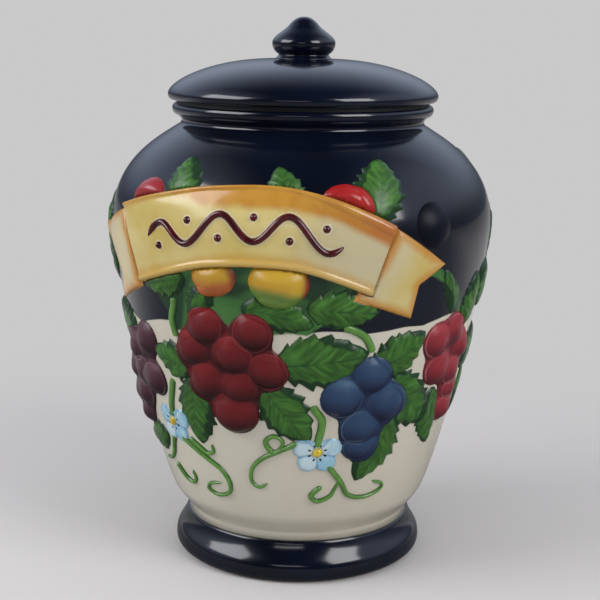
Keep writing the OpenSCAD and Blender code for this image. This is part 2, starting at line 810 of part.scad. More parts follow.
// Share by which the cutter of a leaf is larger than the leaf
leaf_clear = 1.04;

module leaf(i) {
    me = LEAVES[i];
    last = len(LEAVES) - 1;
    size = me[2];
    reach_az = 12 + size / 2;
    color("forestgreen")
        difference() {
            intersection() {
                skin(slip_gap, leaf_t, me[0], reach_az, me[1] - size, me[1] + size);
                leaf_prism(me);
            }
            for (j = [i + 1:1:last])
                if (wall_gap(me, LEAVES[j]) < (size + LEAVES[j][2]) / 2)
                    leaf_prism(LEAVES[j], leaf_clear);
            for (bunch = BUNCHES, b = berries(bunch))
                if (wall_gap(me, b) < size / 2 + b[2] + 2 * bed_rim)
                    berry_prism(b, bed_rim + slip_gap);
            for (f = ROUND_FRUIT)
                if (wall_gap(me, f) < size / 2 + f[2])
                    round_fruit(f, slip_gap);
            for (f = LEMONS)
                if (wall_gap(me, f) < size / 2 + f[2] + 2)
                    lemon(f, slip_gap);
            for (p = BLOSSOMS)
                if (wall_gap(me, p) < size / 2 + blossom_r)
                    blossom_prism(p, blossom_r + slip_gap);
            for (tail = [TAIL_LEFT, TAIL_RIGHT])
                if (wall_gap(me, tail_middle(tail)) < size / 2 + tail_size(tail))
                    tail_prism(tail, tail_clear);
            if (near_ribbon(me, size / 2))
                ribbon_zone(slip_gap);
        }
}

// Leaves of one spray, each a solid of its own
module leaf_spray(k) {
    first = len(FRONT_LEAVES) + len([for (j = [0:1:k - 1]) each SPRAYS[j]]);
    for (i = [0:len(SPRAYS[k]) - 1])
        leaf(first + i);
}

module ribbon_scrollwork() {
    waves = 3;
    span = 58;
    first_az = ribbon_az - span / 2;
    steps_per_wave = 12;
    sway = 6;
    dot_offset = 4.5;
    path = [for (i = [0:waves * steps_per_wave])
        let (share = i / (waves * steps_per_wave))
        let (az = first_az + span * share)
        [az, ribbon_mid_dz(az) + sway * sin(360 * waves * share)]];
    base = ribbon_t + slip_gap;
    color("maroon") {
        coil(path, line_w, line_w, line_h, base);
        for (k = [0:2 * waves - 1]) {
            az = first_az + span * (k + 0.5) / (2 * waves);
            side = k % 2 == 0 ? -1 : 1;
            intersection() {
                skin(base, ribbon_t + line_h, az, 8, ribbon_low_dz, ribbon_high_dz);
                on_wall(az, ribbon_mid_dz(az) + side * dot_offset, -reach)
                    linear_extrude(2 * reach)
                        circle(r = line_w);
            }
        }
    }
}

module blossoms() {
    color("skyblue")
        for (p = BLOSSOMS)
            difference() {
                intersection() {
                    skin(slip_gap, petal_t, p[0], 20, p[1] - blossom_r - 4, p[1] + blossom_r + 4);
                    on_wall(p[0], p[1], -reach)
                        linear_extrude(2 * reach)
                            union() {
                                circle(r = petal_reach);
                                for (k = [1:4])
                                    rotate(72 * k)
                                        translate([0, petal_reach])
                                            circle(r = petal_r);
                            }
                }
                blossom_prism(p, eye_r + slip_gap);
            }
}

module blossom_eyes() {
    color("gold")
        for (p = BLOSSOMS)
            intersection() {
                skin(
                    slip_gap, petal_t + eye_rise, p[0], 20,
                    p[1] - blossom_r, p[1] + blossom_r);
                blossom_prism(p, eye_r);
            }
}

module stems() {
    color("olivedrab")
        coils(STEMS, stem_w, stem_w);
}

module tendrils(paths) {
    color("olivedrab")
        coils(paths, tendril_w, tendril_w * 0.5);
}

jar_body();
foot_ring();
seal_ring();
lid_dome();
lid_knob();
ribbon_panel();
ribbon_tail(TAIL_LEFT);  // ribbon_tail_left
ribbon_tail(TAIL_RIGHT);  // ribbon_tail_right
ribbon_scrollwork();
grapes(CRIMSON, "firebrick");  // grapes_crimson
grapes(BLUE, "darkslateblue");  // grapes_blue
grapes(RED, "firebrick");  // grapes_red
grapes(PLUM, "purple");  // grapes_plum
grapes(BACK_LEFT, "darkslateblue");  // grapes_back_left
grapes(BACK_MIDDLE, "firebrick");  // grapes_back_middle
grapes(BACK_RIGHT, "purple");  // grapes_back_right
fruit(ROUND_FRUIT[0], "crimson");  // apple_left
fruit(ROUND_FRUIT[1], "crimson");  // apple_right
fruit(ROUND_FRUIT[2], "midnightblue");  // plum_right
fruit(ROUND_FRUIT[3], "crimson");  // apple_back_right
fruit(ROUND_FRUIT[4], "midnightblue");  // plum_back_right
fruit(ROUND_FRUIT[5], "midnightblue");  // plum_back_left
fruit(ROUND_FRUIT[6], "crimson");  // apple_back_left
lemon_fruit(LEMONS[0]);  // lemon_left
lemon_fruit(LEMONS[1]);  // lemon_right
lemon_fruit(LEMONS[2]);  // lemon_back_right
lemon_fruit(LEMONS[3]);  // lemon_back_middle
lemon_fruit(LEMONS[4]);  // lemon_back_left
blossoms();
blossom_eyes();
stems();
tendrils(TENDRILS_FRONT);  // tendrils_front
tendrils(TENDRILS_BACK);  // tendrils_back
for (i = [0:len(FRONT_LEAVES) - 1])
    leaf(i);
for (k = [0:len(SPRAYS) - 1])
    leaf_spray(k);
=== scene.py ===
"""Looks of the glazed biscuit jar: smooth thrown shapes, soft sprigged relief and painted glazes.

Work is in millimetres until a mesh is made. A place on the wall is an azimuth, 0 at the
front and growing towards +X, and a height above or below the belly's largest radius.
"""

import math

import bpy
import numpy as np
from mathutils import Matrix, Vector


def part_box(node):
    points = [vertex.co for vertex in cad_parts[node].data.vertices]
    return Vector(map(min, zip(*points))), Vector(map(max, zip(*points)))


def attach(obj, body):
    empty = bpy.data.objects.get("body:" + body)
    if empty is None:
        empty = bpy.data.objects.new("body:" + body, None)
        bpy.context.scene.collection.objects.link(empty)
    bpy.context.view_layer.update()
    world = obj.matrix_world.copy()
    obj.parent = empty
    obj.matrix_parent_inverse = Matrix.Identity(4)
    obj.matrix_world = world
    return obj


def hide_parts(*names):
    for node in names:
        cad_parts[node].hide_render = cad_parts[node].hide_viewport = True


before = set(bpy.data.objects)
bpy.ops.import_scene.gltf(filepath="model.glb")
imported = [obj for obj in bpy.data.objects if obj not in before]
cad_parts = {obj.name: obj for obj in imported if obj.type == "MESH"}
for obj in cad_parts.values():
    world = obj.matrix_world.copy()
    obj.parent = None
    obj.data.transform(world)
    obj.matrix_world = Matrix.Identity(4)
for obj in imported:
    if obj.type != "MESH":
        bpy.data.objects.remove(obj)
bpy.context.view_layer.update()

MM = 0.001


def cad_size(node, corner, axis):
    """One coordinate of a CAD node's box, in millimetres."""
    return round(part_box(node)[corner][axis] / MM, 2)


# ---- Thrown shapes: the sizes of the profiles ----

foot_h = cad_size("foot_ring", 1, 2)
foot_r = cad_size("foot_ring", 1, 0)
mouth_z = cad_size("jar_body", 1, 2)
lid_seat_z = cad_size("seal_ring", 1, 2)
lid_r = cad_size("lid_dome", 1, 0)
knob_seat_z = cad_size("lid_knob", 0, 2)
knob_top_z = cad_size("lid_knob", 1, 2)
knob_r = cad_size("lid_knob", 1, 0)

WAIST_R, WAIST_H = 59.5, 4.0
TOE_R, TOE_H, TOE_SLOPE = 68.0, 12.0, 0.42
SHOULDER_R, SHOULDER_H, SHOULDER_SLOPE = 66.0, 48.0, 1.5
GROOVE_R, GROOVE_H = 63.0, 6.5
BEAD_R, BEAD_H, BEAD_ROUND = 67.8, 5.0, 1.2
BELLY_R = 99.0
belly_z = mouth_z - BEAD_H - GROOVE_H - SHOULDER_H
MOUTH_R, WALL_T, FLOOR_T = 57.5, 5.0, 6.0
FOOT_BASE_R, FOOT_BULGE_Z, FOOT_BORE_R, FOOT_LEDGE = 60.0, 5.2, 49.0, 1.0
RIM_H, DOME_RISE, DOME_T = 3.0, 18.1, 4.5
DOME_SIDE_R, DOME_SIDE_H = 47.7, 6.0
FLANGE_R, FLANGE_T, FLANGE_H = 53.0, 5.0, 15.0
KNOB_COLLAR_R, KNOB_COLLAR_H, KNOB_NECK_R, KNOB_BULGE_H = 14.6, 1.4, 13.0, 8.0

# ---- Relief: heights above the wall and the places of its pieces ----

LEAF_T, LEAF_OVER, LEAF_EDGE = 2.4, 1.1, 2.0
LEAF_GROOVE, LEAF_RIPPLE, LEAF_TEETH, LEAF_VEINS = 0.24, 0.35, 6, 5
# Leaves that lie on each other at the widest place of the right side are pressed flatter
PRESSED, PRESSED_AZ, PRESSED_REACH = 0.3, 90, 8
RIBBON_T, RIBBON_ROLL, RIBBON_LOW_W = 3.2, 1.2, 4.2
RIBBON_AZ, RIBBON_REACH = -17.5, 60
SCROLL_WAVES, SCROLL_SPAN, SCROLL_SWAY, DOT_OFFSET = 3, 58, 6.0, 4.5
TAIL_T = 2.2
LINE_H, LINE_W = 1.4, 2.6
PETAL_T, PETAL_R, PETAL_REACH = 1.2, 5.7, 6.8
EYE_R, EYE_T = 2.6, 2.5
BED_T, BED_RIM, BED_RISE, BED_FILL = 1.6, 0.8, 1.6, 2.5
BERRY_SINK, BERRY_FLAT, BERRY_TILT, BERRY_BLEND = 2.5, 0.74, -0.11, 1.5
LEMON_SINK, TUCKED_SLOPE, TUCKED_BLEND = 7.0, 1.1, 1.3
STEM_W, TENDRIL_W, TENDRIL_H = 4.2, 3.4, 1.6

# Azimuth and height of the middle, length, width, turn of the tip from straight up
FRONT_LEAVES = [
    [7, -55, 46, 29, -84], [-4, -84, 38, 25, -144], [-43, -60, 32, 22, 84],
    [-36.3, -87, 38, 25, 178], [32, -53, 34, 24, -62], [40.5, -80, 43, 28, -130],
    [27.3, -103.8, 40, 26, 160], [52.5, -93, 34, 19, -168], [64, -34, 30, 20, -22],
    [49, -27, 27, 9, -156], [-73, -49, 34, 24, 62], [-68, -110, 30, 17, 98],
    [-38, 27, 30, 22, 8], [-5, 26, 26, 18, 16], [23, 26, 36, 26, -16],
    [-43, -22, 30, 18, 104], [-30, -31, 26, 15, 150], [-6.5, -33.8, 36, 20, -104],
    [12.5, -30.5, 36, 20, -95],
]
LEAF_SPRAYS = [
    [[97, 6, 34, 23, -62], [81, -32, 36, 25, -130], [91, -15, 42, 24, -172],
        [103, 25, 32, 22, 12], [104, -23, 30, 21, -108], [79, -62, 36, 24, -70],
        [89, -92, 38, 25, -160]],
    [[101, -50, 36, 25, 96], [121, 24, 32, 24, 8], [121, -21, 30, 20, 165],
        [144, -50, 36, 26, -70], [104, -86, 36, 24, 150], [144, -84, 36, 24, -165]],
    [[142, 24, 30, 22, -18], [163, 25, 32, 24, 0], [185, 24, 32, 24, 12],
        [142, -22, 30, 20, -160], [163, -23, 32, 22, 168], [186, -24, 32, 22, -160],
        [203, -52, 36, 24, -75], [201, -84, 36, 24, -165], [158, -90, 34, 22, 160]],
    [[206, 25, 32, 24, -15], [228, 24, 32, 24, 10], [228, -22, 32, 22, 170],
        [207, -24, 28, 20, 150], [214, -76, 34, 22, 96], [258, -52, 36, 26, -78],
        [216, -102, 34, 22, 150], [258, -88, 36, 24, -165]],
    [[262, 5, 36, 24, 70], [249, 26, 32, 24, -10], [249, -20, 32, 22, 165],
        [277, -6, 32, 22, 10], [270, -25, 34, 24, 100], [267, -70, 34, 24, 78],
        [270, -104, 34, 22, 118]],
]
# Bunches: node, glaze, azimuth and height of the middle, then for each berry its
# distance to the right of the middle, distance above it and radius
BUNCHES = [
    ["grapes_crimson", "crimson_glaze", -21, -60, [
        [-13, 19, 9.5], [11.5, 18, 9.5], [-21.5, 7, 9.2], [1, 6, 10], [18, -1, 9.4],
        [-14.5, -9, 9.5], [3, -10, 9], [-0.5, -24, 11.5]]],
    ["grapes_blue", "blue_glaze", 21, -80, [
        [-11, 5, 10], [3, 16, 9.4], [12, 1, 10.4], [-0.5, -11, 9.4], [0.5, -21, 8.4]]],
    ["grapes_red", "red_glaze", 56, -65, [
        [-14.5, 14, 8.6], [-1, 18, 8], [9.5, 8, 8.8], [-9.5, -1, 9], [4.5, -4, 8.4],
        [7.5, -14, 7.8], [6.5, -25, 8.2]]],
    ["grapes_plum", "plum_glaze", -66, -75, [
        [14, 20, 8.8], [0, 14, 9], [14.5, -1, 8.8], [3, 2, 9], [-10.5, 1, 9],
        [-3.5, -11, 9.2], [-16, -13, 9], [-10, -23, 8.6]]],
    ["grapes_back_left", "blue_glaze", 236, -78, [
        [-8, 16, 9.5], [11, 18, 9.2], [-16.5, 3, 9], [1, 3, 9.6], [16.5, 4, 9],
        [-7.5, -10, 9.2], [9, -10, 9], [0.5, -22, 9]]],
    ["grapes_back_middle", "crimson_glaze", 177, -70, [
        [-8, 15, 9.5], [11, 17, 9.2], [-17, 3, 9], [1, 2, 9.6], [17, 3, 9],
        [-7.5, -11, 9.2], [9, -11, 9], [0.5, -24, 9.4]]],
    ["grapes_back_right", "plum_glaze", 124, -82, [
        [-9.5, 16, 9.2], [8, 18, 9.4], [-16.5, 3, 9], [0, 3, 9.6], [15, 4, 9],
        [-7, -10, 9], [7, -10, 9], [0, -22, 8.8]]],
]
# Round fruit: node, glaze, azimuth, height, radius, depth of the centre behind the wall
ROUND_FRUIT = [
    ["apple_left", "apple_glaze", -50.5, 16.5, 15.5, 10],
    ["apple_right", "apple_glaze", 12.5, 17, 17, 11],
    ["plum_right", "dark_fruit_glaze", 40, 8, 19, 15.2],
    ["apple_back_right", "apple_glaze", 110, 3, 18, 11.5],
    ["plum_back_right", "plum_glaze", 152, 4, 17, 11],
    ["plum_back_left", "plum_glaze", 195, 4, 17, 11],
    ["apple_back_left", "apple_glaze", 238, 3, 18, 11.5],
]
# Lemons: node, azimuth, height, half length, half width, turn out of the level
LEMONS = [
    ["lemon_left", -25, -16, 16, 12, 8],
    ["lemon_right", -6, -17, 18, 14, -4],
    ["lemon_back_right", 131, 4, 20, 14, -18],
    ["lemon_back_middle", 173.5, 6, 20, 14, 10],
    ["lemon_back_left", 216.5, 4, 20, 14, -14],
]
BLOSSOMS = [[-50.5, -97], [6.6, -104], [142, -112], [224, -112]]
RIBBON_TOP = [
    [-62, 13], [-50, 18.5], [-40, 22], [-30, 25], [-20, 26.5], [-10, 27], [0, 25.5],
    [10, 21.5], [20, 15], [27, 9],
]
RIBBON_BOTTOM = [
    [-52.5, -24.5], [-45, -20.5], [-30, -13], [-20, -10.5], [-10, -10], [0, -11.5],
    [10, -17], [20, -24],
]
TAIL_LEFT = [[-61, 11], [-84, -2], [-68, -23], [-73, -39], [-53.5, -27], [-57, -4]]
TAIL_RIGHT = [[27, 8], [45, -11.5], [35.5, -20.5], [34, -37], [14.5, -25], [22, -8]]
STEMS = [
    [[-39.5, -29], [-40, -33], [-41.5, -40], [-41, -46], [-40.5, -49]],
    [[-46, -73], [-47.5, -79], [-49, -84.5], [-50, -89.5], [-50.4, -94.5]],
    [[4.2, -79], [5.8, -82.5], [7.6, -86.5], [7.6, -91.5], [6.9, -96.5], [6.6, -101.5]],
    [[12.5, -38.5], [16, -40.6], [19.5, -44.3], [21.5, -49.3], [22, -52]],
    [[128, -40], [124, -48], [125, -55]],
    [[236, -38], [240, -44], [238, -51]],
]
TENDRILS_FRONT = [
    [[-47.5, -103.5], [-44, -107], [-36, -113], [-30, -118], [-27.3, -125], [-28.5, -131],
        [-34, -133.5], [-38.5, -131], [-36.5, -127.5], [-31, -126]],
    [[-43, -104], [-39, -107], [-35, -110], [-32.4, -108.5], [-32.6, -104.5]],
    [[-0.5, -98.5], [-3, -101], [-8, -104.5], [-13, -108.5], [-17, -114.5], [-17.8, -121.5],
        [-15, -125], [-11.5, -122.5]],
    [[10.5, -111], [12.5, -115], [16.5, -122], [20, -129.5], [27, -131.8], [33.5, -129.5],
        [34.8, -126], [29.5, -123]],
    [[9, -123.5], [5.2, -128.5], [7.5, -132], [12.5, -129.5], [14.3, -125], [15.6, -121.5]],
    [[-52.5, -106], [-54, -110], [-56, -116], [-60, -121], [-66, -122.5]],
    [[-8.8, -105], [-10.9, -101.6], [-11.2, -98.3], [-8.6, -95.6], [-5.9, -97.4],
        [-5.6, -100.6], [-7.4, -103.8]],
    [[-56.5, -122.5], [-53.5, -126.5], [-50, -129.8], [-46.8, -130.3], [-45, -127],
        [-46, -123.2]],
]
TENDRILS_BACK = [
    [[136, -120], [130, -126], [124, -127], [122, -122], [126, -118.5]],
    [[232, -118], [238, -125], [245, -126], [247, -121], [243, -117.5]],
    [[178, -108], [174, -115], [176, -123], [183, -125], [187, -120], [184, -116]],
    [[96, -113], [99, -119.5], [105, -121.5], [108, -116]],
]

# ---- Curves ----


def cubic(a, b, c, d, steps):
    """Points of a cubic curve with end points a, d and handles b, c."""
    t = np.linspace(0, 1, steps + 1)[:, None]
    a, b, c, d = (np.array(p, float) for p in (a, b, c, d))
    return (1 - t) ** 3 * a + 3 * (1 - t) ** 2 * t * b + 3 * (1 - t) * t * t * c + t**3 * d


def bulge_handle(end_r, mid_r):
    """Radius of the handles that carry a curve between equal radii to mid_r."""
    return (4 * mid_r - end_r) / 3


def smooth_line(points, steps=8):
    """A smooth curve through points."""
    p = np.array(points, float)
    p = np.vstack([2 * p[0] - p[1], p, 2 * p[-1] - p[-2]])
    t = np.linspace(0, 1, steps, endpoint=False)[:, None]
    parts = [
        0.5 * (2 * b + (c - a) * t + (2 * a - 5 * b + 4 * c - d) * t**2
               + (3 * b - a - 3 * c + d) * t**3)
        for a, b, c, d in zip(p[:-3], p[1:-2], p[2:-1], p[3:])
    ]
    return np.vstack(parts + [p[-2:-1]])


def soft_step(x, low, high):
    t = np.clip((x - low) / (high - low), 0, 1)
    return t * t * (3 - 2 * t)


# ---- The wall's profile and the lattice that the relief is computed on ----

toe_z = foot_h + WAIST_H + TOE_H
shoulder_z = belly_z + SHOULDER_H
WALL = np.vstack([
    cubic([WAIST_R, toe_z - TOE_H], [WAIST_R + 2, toe_z - 0.7 * TOE_H],
          [TOE_R - TOE_SLOPE * 4.5, toe_z - 4.5], [TOE_R, toe_z], 24),
    cubic([TOE_R, toe_z], [TOE_R + TOE_SLOPE * 30, toe_z + 30],
          [BELLY_R, belly_z - 20], [BELLY_R, belly_z], 120)[1:],
    cubic([BELLY_R, belly_z], [BELLY_R, belly_z + 0.625 * SHOULDER_H],
          [SHOULDER_R + SHOULDER_SLOPE * 6, shoulder_z - 6], [SHOULDER_R, shoulder_z], 72)[1:],
])
wall_s = np.concatenate([[0], np.cumsum(np.hypot(*np.diff(WALL, axis=0).T))])

STEP_AZ = 0.3
STEP_S = 0.5
COLUMNS = round(360 / STEP_AZ)
row_s = np.arange(0, wall_s[-1], STEP_S)
row_r = np.interp(row_s, wall_s, WALL[:, 0])
row_z = np.interp(row_s, wall_s, WALL[:, 1])
_slope = np.stack([np.gradient(row_r), np.gradient(row_z)], 1)
_slope /= np.linalg.norm(_slope, axis=1)[:, None]
row_out = np.stack([_slope[:, 1], -_slope[:, 0]], 1)

# Height of the topmost relief, and the number of the piece that it belongs to
ground = np.zeros((len(row_s), COLUMNS))
owner = np.full((len(row_s), COLUMNS), -1)
pieces = []
# How far a piece reaches into the wall, where nobody sees it
SUNK = -1.8


def level(dz):
    """Distance along the wall of a height."""
    return np.interp(belly_z + np.asarray(dz, float), WALL[:, 1], wall_s)


def wall_points(az, s, h):
    """Points at height h above the wall."""
    r = np.interp(s, row_s, row_r) + h * np.interp(s, row_s, row_out[:, 0])
    z = np.interp(s, row_s, row_z) + h * np.interp(s, row_s, row_out[:, 1])
    a = np.radians(az)
    return np.stack([r * np.sin(a), -r * np.cos(a), z], -1)


def flat(az0, places):
    """Places as x along the wall from azimuth az0 and y along the wall upwards."""
    p = np.array(places, float)
    s = level(p[:, 1])
    return np.stack([np.radians(p[:, 0] - az0) * np.interp(s, row_s, row_r), s], 1)


class Patch:
    """A window of the lattice around a place."""

    def __init__(self, az, dz, half_w, half_h):
        s = float(level(dz))
        self.az = az
        self.rows = np.arange(max(0, int((s - half_h) / STEP_S)),
                              min(len(row_s) - 1, int((s + half_h) / STEP_S) + 1))
        half_az = math.degrees(half_w / row_r[self.rows].min())
        self.columns = np.arange(int((az - half_az) // STEP_AZ),
                                 int((az + half_az) // STEP_AZ) + 2)
        self.index = np.ix_(self.rows, self.columns % COLUMNS)
        self.x = np.radians(self.columns * STEP_AZ - az)[None, :] * row_r[self.rows][:, None]
        self.y = np.repeat(row_s[self.rows][:, None] - s, len(self.columns), 1)
        self.s0 = s
        self.s = self.y + s


def inside_distance(px, py, outline):
    """Distance from each point to an outline, positive inside it."""
    best = np.full(px.shape, 1e9)
    inside = np.zeros(px.shape, bool)
    for a, b in zip(outline, np.roll(outline, -1, 0)):
        best = np.minimum(best, line_distance(px, py, a, b)[0])
        if a[1] != b[1]:
            crosses = (a[1] > py) != (b[1] > py)
            inside ^= crosses & (px < (b[0] - a[0]) * (py - a[1]) / (b[1] - a[1]) + a[0])
    return np.where(inside, best, -best)


def line_distance(px, py, a, b):
    """Distance to the line from a to b, and the share of the way along it."""
    d = b - a
    t = np.clip(((px - a[0]) * d[0] + (py - a[1]) * d[1]) / max(d @ d, 1e-12), 0, 1)
    return np.hypot(px - a[0] - t * d[0], py - a[1] - t * d[1]), t


def path_distance(px, py, path):
    """Distance to a path, and the share of the way along it."""
    best, share = np.full(px.shape, 1e9), np.zeros(px.shape)
    for i, (a, b) in enumerate(zip(path[:-1], path[1:])):
        d, t = line_distance(px, py, a, b)
        share = np.where(d < best, (i + t) / (len(path) - 1), share)
        best = np.minimum(best, d)
    return best, share


def edge_profile(d, soft):
    """From 0 at an edge to 1 inside it, and steeply below 0 outside it."""
    return np.where(d > 0, 1 - np.exp(-np.maximum(d, 0) / soft), d / soft)


def soft_max(values, reach):
    """The largest of several fields, blended where they are about equal."""
    top = values.max(0)
    return top + reach * np.log(np.exp((values - top) / reach).sum(0))


def blurred(a, passes):
    for _ in range(passes):
        for axis in (0, 1):
            a = (np.roll(a, 1, axis) + 2 * a + np.roll(a, -1, axis)) / 4
    return a


def lay(name, patch, height, over, cover, marks, glaze):
    """Lays a piece of clay over what is there.

    height is its own height where it lies on the wall, over what it adds where it lies
    on another piece, and cover is above 0 where the piece is.
    """
    below = ground[patch.index]
    draped = np.where(cover > 0.6, blurred(below, 6), below)
    h = np.maximum(height, draped + over)
    here = cover > 0
    ground[patch.index] = np.where(here, h, below)
    owner[patch.index] = np.where(here, len(pieces), owner[patch.index])
    pieces.append({"name": name, "patch": patch, "h": h, "marks": marks, "glaze": glaze})


# ---- Meshes ----


def add_marks(mesh, marks):
    for key, values in marks.items():
        layer = mesh.attributes.new(key, "FLOAT", "POINT")
        layer.data.foreach_set("value", np.asarray(values, np.float32))


def new_object(name, points, faces, marks=None):
    mesh = bpy.data.meshes.new(name)
    mesh.from_pydata([tuple(p) for p in np.asarray(points) * MM], [], faces)
    mesh.validate()
    add_marks(mesh, marks or {})
    mesh.polygons.foreach_set("use_smooth", [True] * len(mesh.polygons))
    obj = bpy.data.objects.new(name, mesh)
    bpy.context.scene.collection.objects.link(obj)
    return obj


def spread(mask, times):
    for _ in range(times):
        wide = mask.copy()
        wide[1:] |= mask[:-1]
        wide[:-1] |= mask[1:]
        wide[:, 1:] |= mask[:, :-1]
        wide[:, :-1] |= mask[:, 1:]
        mask = wide
    return mask


def relief_mesh(number):
    """Points, faces and marks of one laid piece, closed towards the wall."""
    piece = pieces[number]
    patch = piece["patch"]
    mine = owner[patch.index] == number
    top = ground[patch.index]
    h = np.where(mine, piece["h"], np.minimum(piece["h"], top - 0.5))
    h = np.maximum(h, SUNK + 0.2)
    keep = spread(mine, 2)
    cells = keep[:-1, :-1] & keep[1:, :-1] & keep[:-1, 1:] & keep[1:, 1:]
    rows, columns = np.nonzero(cells)
    width = h.shape[1]
    corner = rows * width + columns
    quads = np.stack([corner, corner + 1, corner + width + 1, corner + width], 1)
    used, flat_ids = np.unique(quads, return_inverse=True)
    quads = flat_ids.reshape(-1, 4)
    az = patch.columns[used % width] * STEP_AZ
    s = row_s[patch.rows][used // width]
    flatter = 1 - PRESSED * np.exp(-((az - PRESSED_AZ) / PRESSED_REACH) ** 2)
    raised = h.ravel()[used]
    front = wall_points(az, s, np.where(raised > 0, raised * flatter, raised))
    back = wall_points(az, s, np.full(len(used), SUNK))
    count = len(used)
    # Edges that belong to one cell only are where the sides go
    edges = np.vstack([quads[:, [k, (k + 1) % 4]] for k in range(4)])
    keys = np.sort(edges, 1)
    _, first, times = np.unique(keys[:, 0] * count + keys[:, 1],
                                return_index=True, return_counts=True)
    rim = edges[first[times == 1]]
    sides = np.stack([rim[:, 1], rim[:, 0], rim[:, 0] + count, rim[:, 1] + count], 1)
    faces = np.vstack([quads, quads[:, ::-1] + count, sides])
    marks = {k: np.tile(v.ravel()[used], 2) for k, v in piece["marks"].items()}
    return np.vstack([front, back]), faces, marks


def joined(parts):
    """Several closed pieces as one mesh."""
    points, faces, marks, start = [], [], {}, 0
    for p, f, m in parts:
        points.append(p)
        faces.append(f + start)
        start += len(p)
        for k, v in m.items():
            marks.setdefault(k, []).append(v)
    return (np.vstack(points), np.vstack(faces).tolist(),
            {k: np.concatenate(v) for k, v in marks.items()})


def revolved(name, profile, steps, marks):
    """A closed profile of radius and height turned about the jar's axis."""
    profile = np.array(profile, float)
    on_axis = profile[:, 0] < 1e-6
    points, rings = [], []
    for (r, z), pole in zip(profile, on_axis):
        angles = [0.0] if pole else np.arange(steps) * 2 * math.pi / steps
        rings.append(range(len(points), len(points) + len(angles)))
        points.extend([r * math.sin(a), -r * math.cos(a), z] for a in angles)
    faces = []
    for low, high in zip(rings[:-1], rings[1:]):
        for k in range(steps):
            n = (k + 1) % steps
            face = ([low[0]] if len(low) == 1 else [low[k], low[n]]) + \
                ([high[0]] if len(high) == 1 else [high[n], high[k]])
            if len(face) > 2:
                faces.append(face)
    if not on_axis[0]:
        for k in range(steps):
            n = (k + 1) % steps
            faces.append([rings[-1][k], rings[-1][n], rings[0][n], rings[0][k]])
    values = {key: np.concatenate([np.full(len(ring), v) for ring, v in zip(rings, per_ring)])
              for key, per_ring in (marks or {}).items()}
    return new_object(name, points, faces, values)


def rounded(profile, radius):
    """The profile with each corner marked by a third value of 1 replaced by a round."""
    out = []
    for k, point in enumerate(profile):
        p = np.array(point[:2], float)
        if len(point) < 3:
            out.append(p)
            continue
        before = np.array(profile[k - 1][:2], float)
        after = np.array(profile[(k + 1) % len(profile)][:2], float)
        reach = [min(radius, 0.45 * np.linalg.norm(q - p)) for q in (before, after)]
        a = p + (before - p) / np.linalg.norm(before - p) * reach[0]
        b = p + (after - p) / np.linalg.norm(after - p) * reach[1]
        for t in np.linspace(0, 1, 5):
            out.append((1 - t) ** 2 * a + 2 * t * (1 - t) * p + t * t * b)
    return np.array(out)


# ---- Sprigs ----

rng = np.random.default_rng(7)


def turned(x, y, degrees):
    """Coordinates along axes that are turned anticlockwise."""
    a = math.radians(degrees)
    return x * math.cos(a) + y * math.sin(a), -x * math.sin(a) + y * math.cos(a)


def leaf_outline(length, width, bend):
    """A toothed leaf with its middle at the origin and its tip towards +y."""
    t = np.linspace(0, 1, 121)
    sides = []
    for sign in (1, -1):
        half = width / 2 * np.sin(np.pi * t**0.8) ** 0.75
        ends = np.concatenate([[0], np.cumsum(rng.uniform(0.7, 1.4, LEAF_TEETH))])
        ends = 0.04 + 0.93 * ends / ends[-1]
        tooth = np.clip(np.searchsorted(ends, t) - 1, 0, LEAF_TEETH - 1)
        run = np.clip((t - ends[tooth]) / (ends[tooth + 1] - ends[tooth]), 0, 1)
        # A tooth widens slowly towards the tip and ends steeply
        jag = np.where(run < 0.8, (run / 0.8) ** 1.3, (1 - run) / 0.2)
        depth = rng.uniform(0.14, 0.3, LEAF_TEETH)[tooth]
        fade = soft_step(t, 0.02, 0.1) * soft_step(1 - t, 0.0, 0.1)
        half = half * (1 + depth * (jag - 0.62) * fade)
        sides.append(np.stack([sign * half, (t - 0.5) * length], 1))
    outline = np.vstack([sides[0], sides[1][::-1][1:-1]])
    outline[:, 0] += bend * (0.25 - (outline[:, 1] / length) ** 2) * 4
    return outline


def make_leaf(name, az, dz, length, width, turn):
    patch = Patch(az, dz, length / 2 + 4, length / 2 + 4)
    bend = rng.uniform(-0.07, 0.07) * length
    u, v = turned(patch.x, patch.y, turn)
    x, y = turned(*leaf_outline(length, width, bend).T, -turn)
    d = inside_distance(patch.x, patch.s, np.stack([x, y + patch.s0], 1))
    across = u - bend * (0.25 - (v / length) ** 2) * 4
    middle = np.abs(across)
    # Side veins leave the midrib at a slant, evenly spaced
    spacing = length / LEAF_VEINS
    phase = (v - 0.75 * middle + 0.3 * spacing) / spacing
    side = np.abs(phase - np.round(phase)) * spacing * 0.8
    vein = np.minimum(middle, side + 0.7 + 0.04 * middle)
    cover = edge_profile(d, LEAF_EDGE)
    inner = np.clip(cover, 0, 1)
    ripple = LEAF_RIPPLE * np.cos(np.pi * np.clip(middle / (width / 2), 0, 1))
    groove = (soft_step(vein, 0, 3.2) - 1) * LEAF_GROOVE * inner
    height = np.minimum(LEAF_T * cover + (groove + ripple * inner), LEAF_T + 0.3)
    marks = {
        "edge": np.clip(d, 0, 12),
        "vein": np.clip(vein, 0, 6),
        "along": np.clip(v / length + 0.5, 0, 1),
        "across": across / (width / 2),
        "tone": np.full(patch.x.shape, rng.uniform()),
    }
    lay(name, patch, height, LEAF_OVER * cover + groove * 0.7, cover, marks, "leaf_glaze")


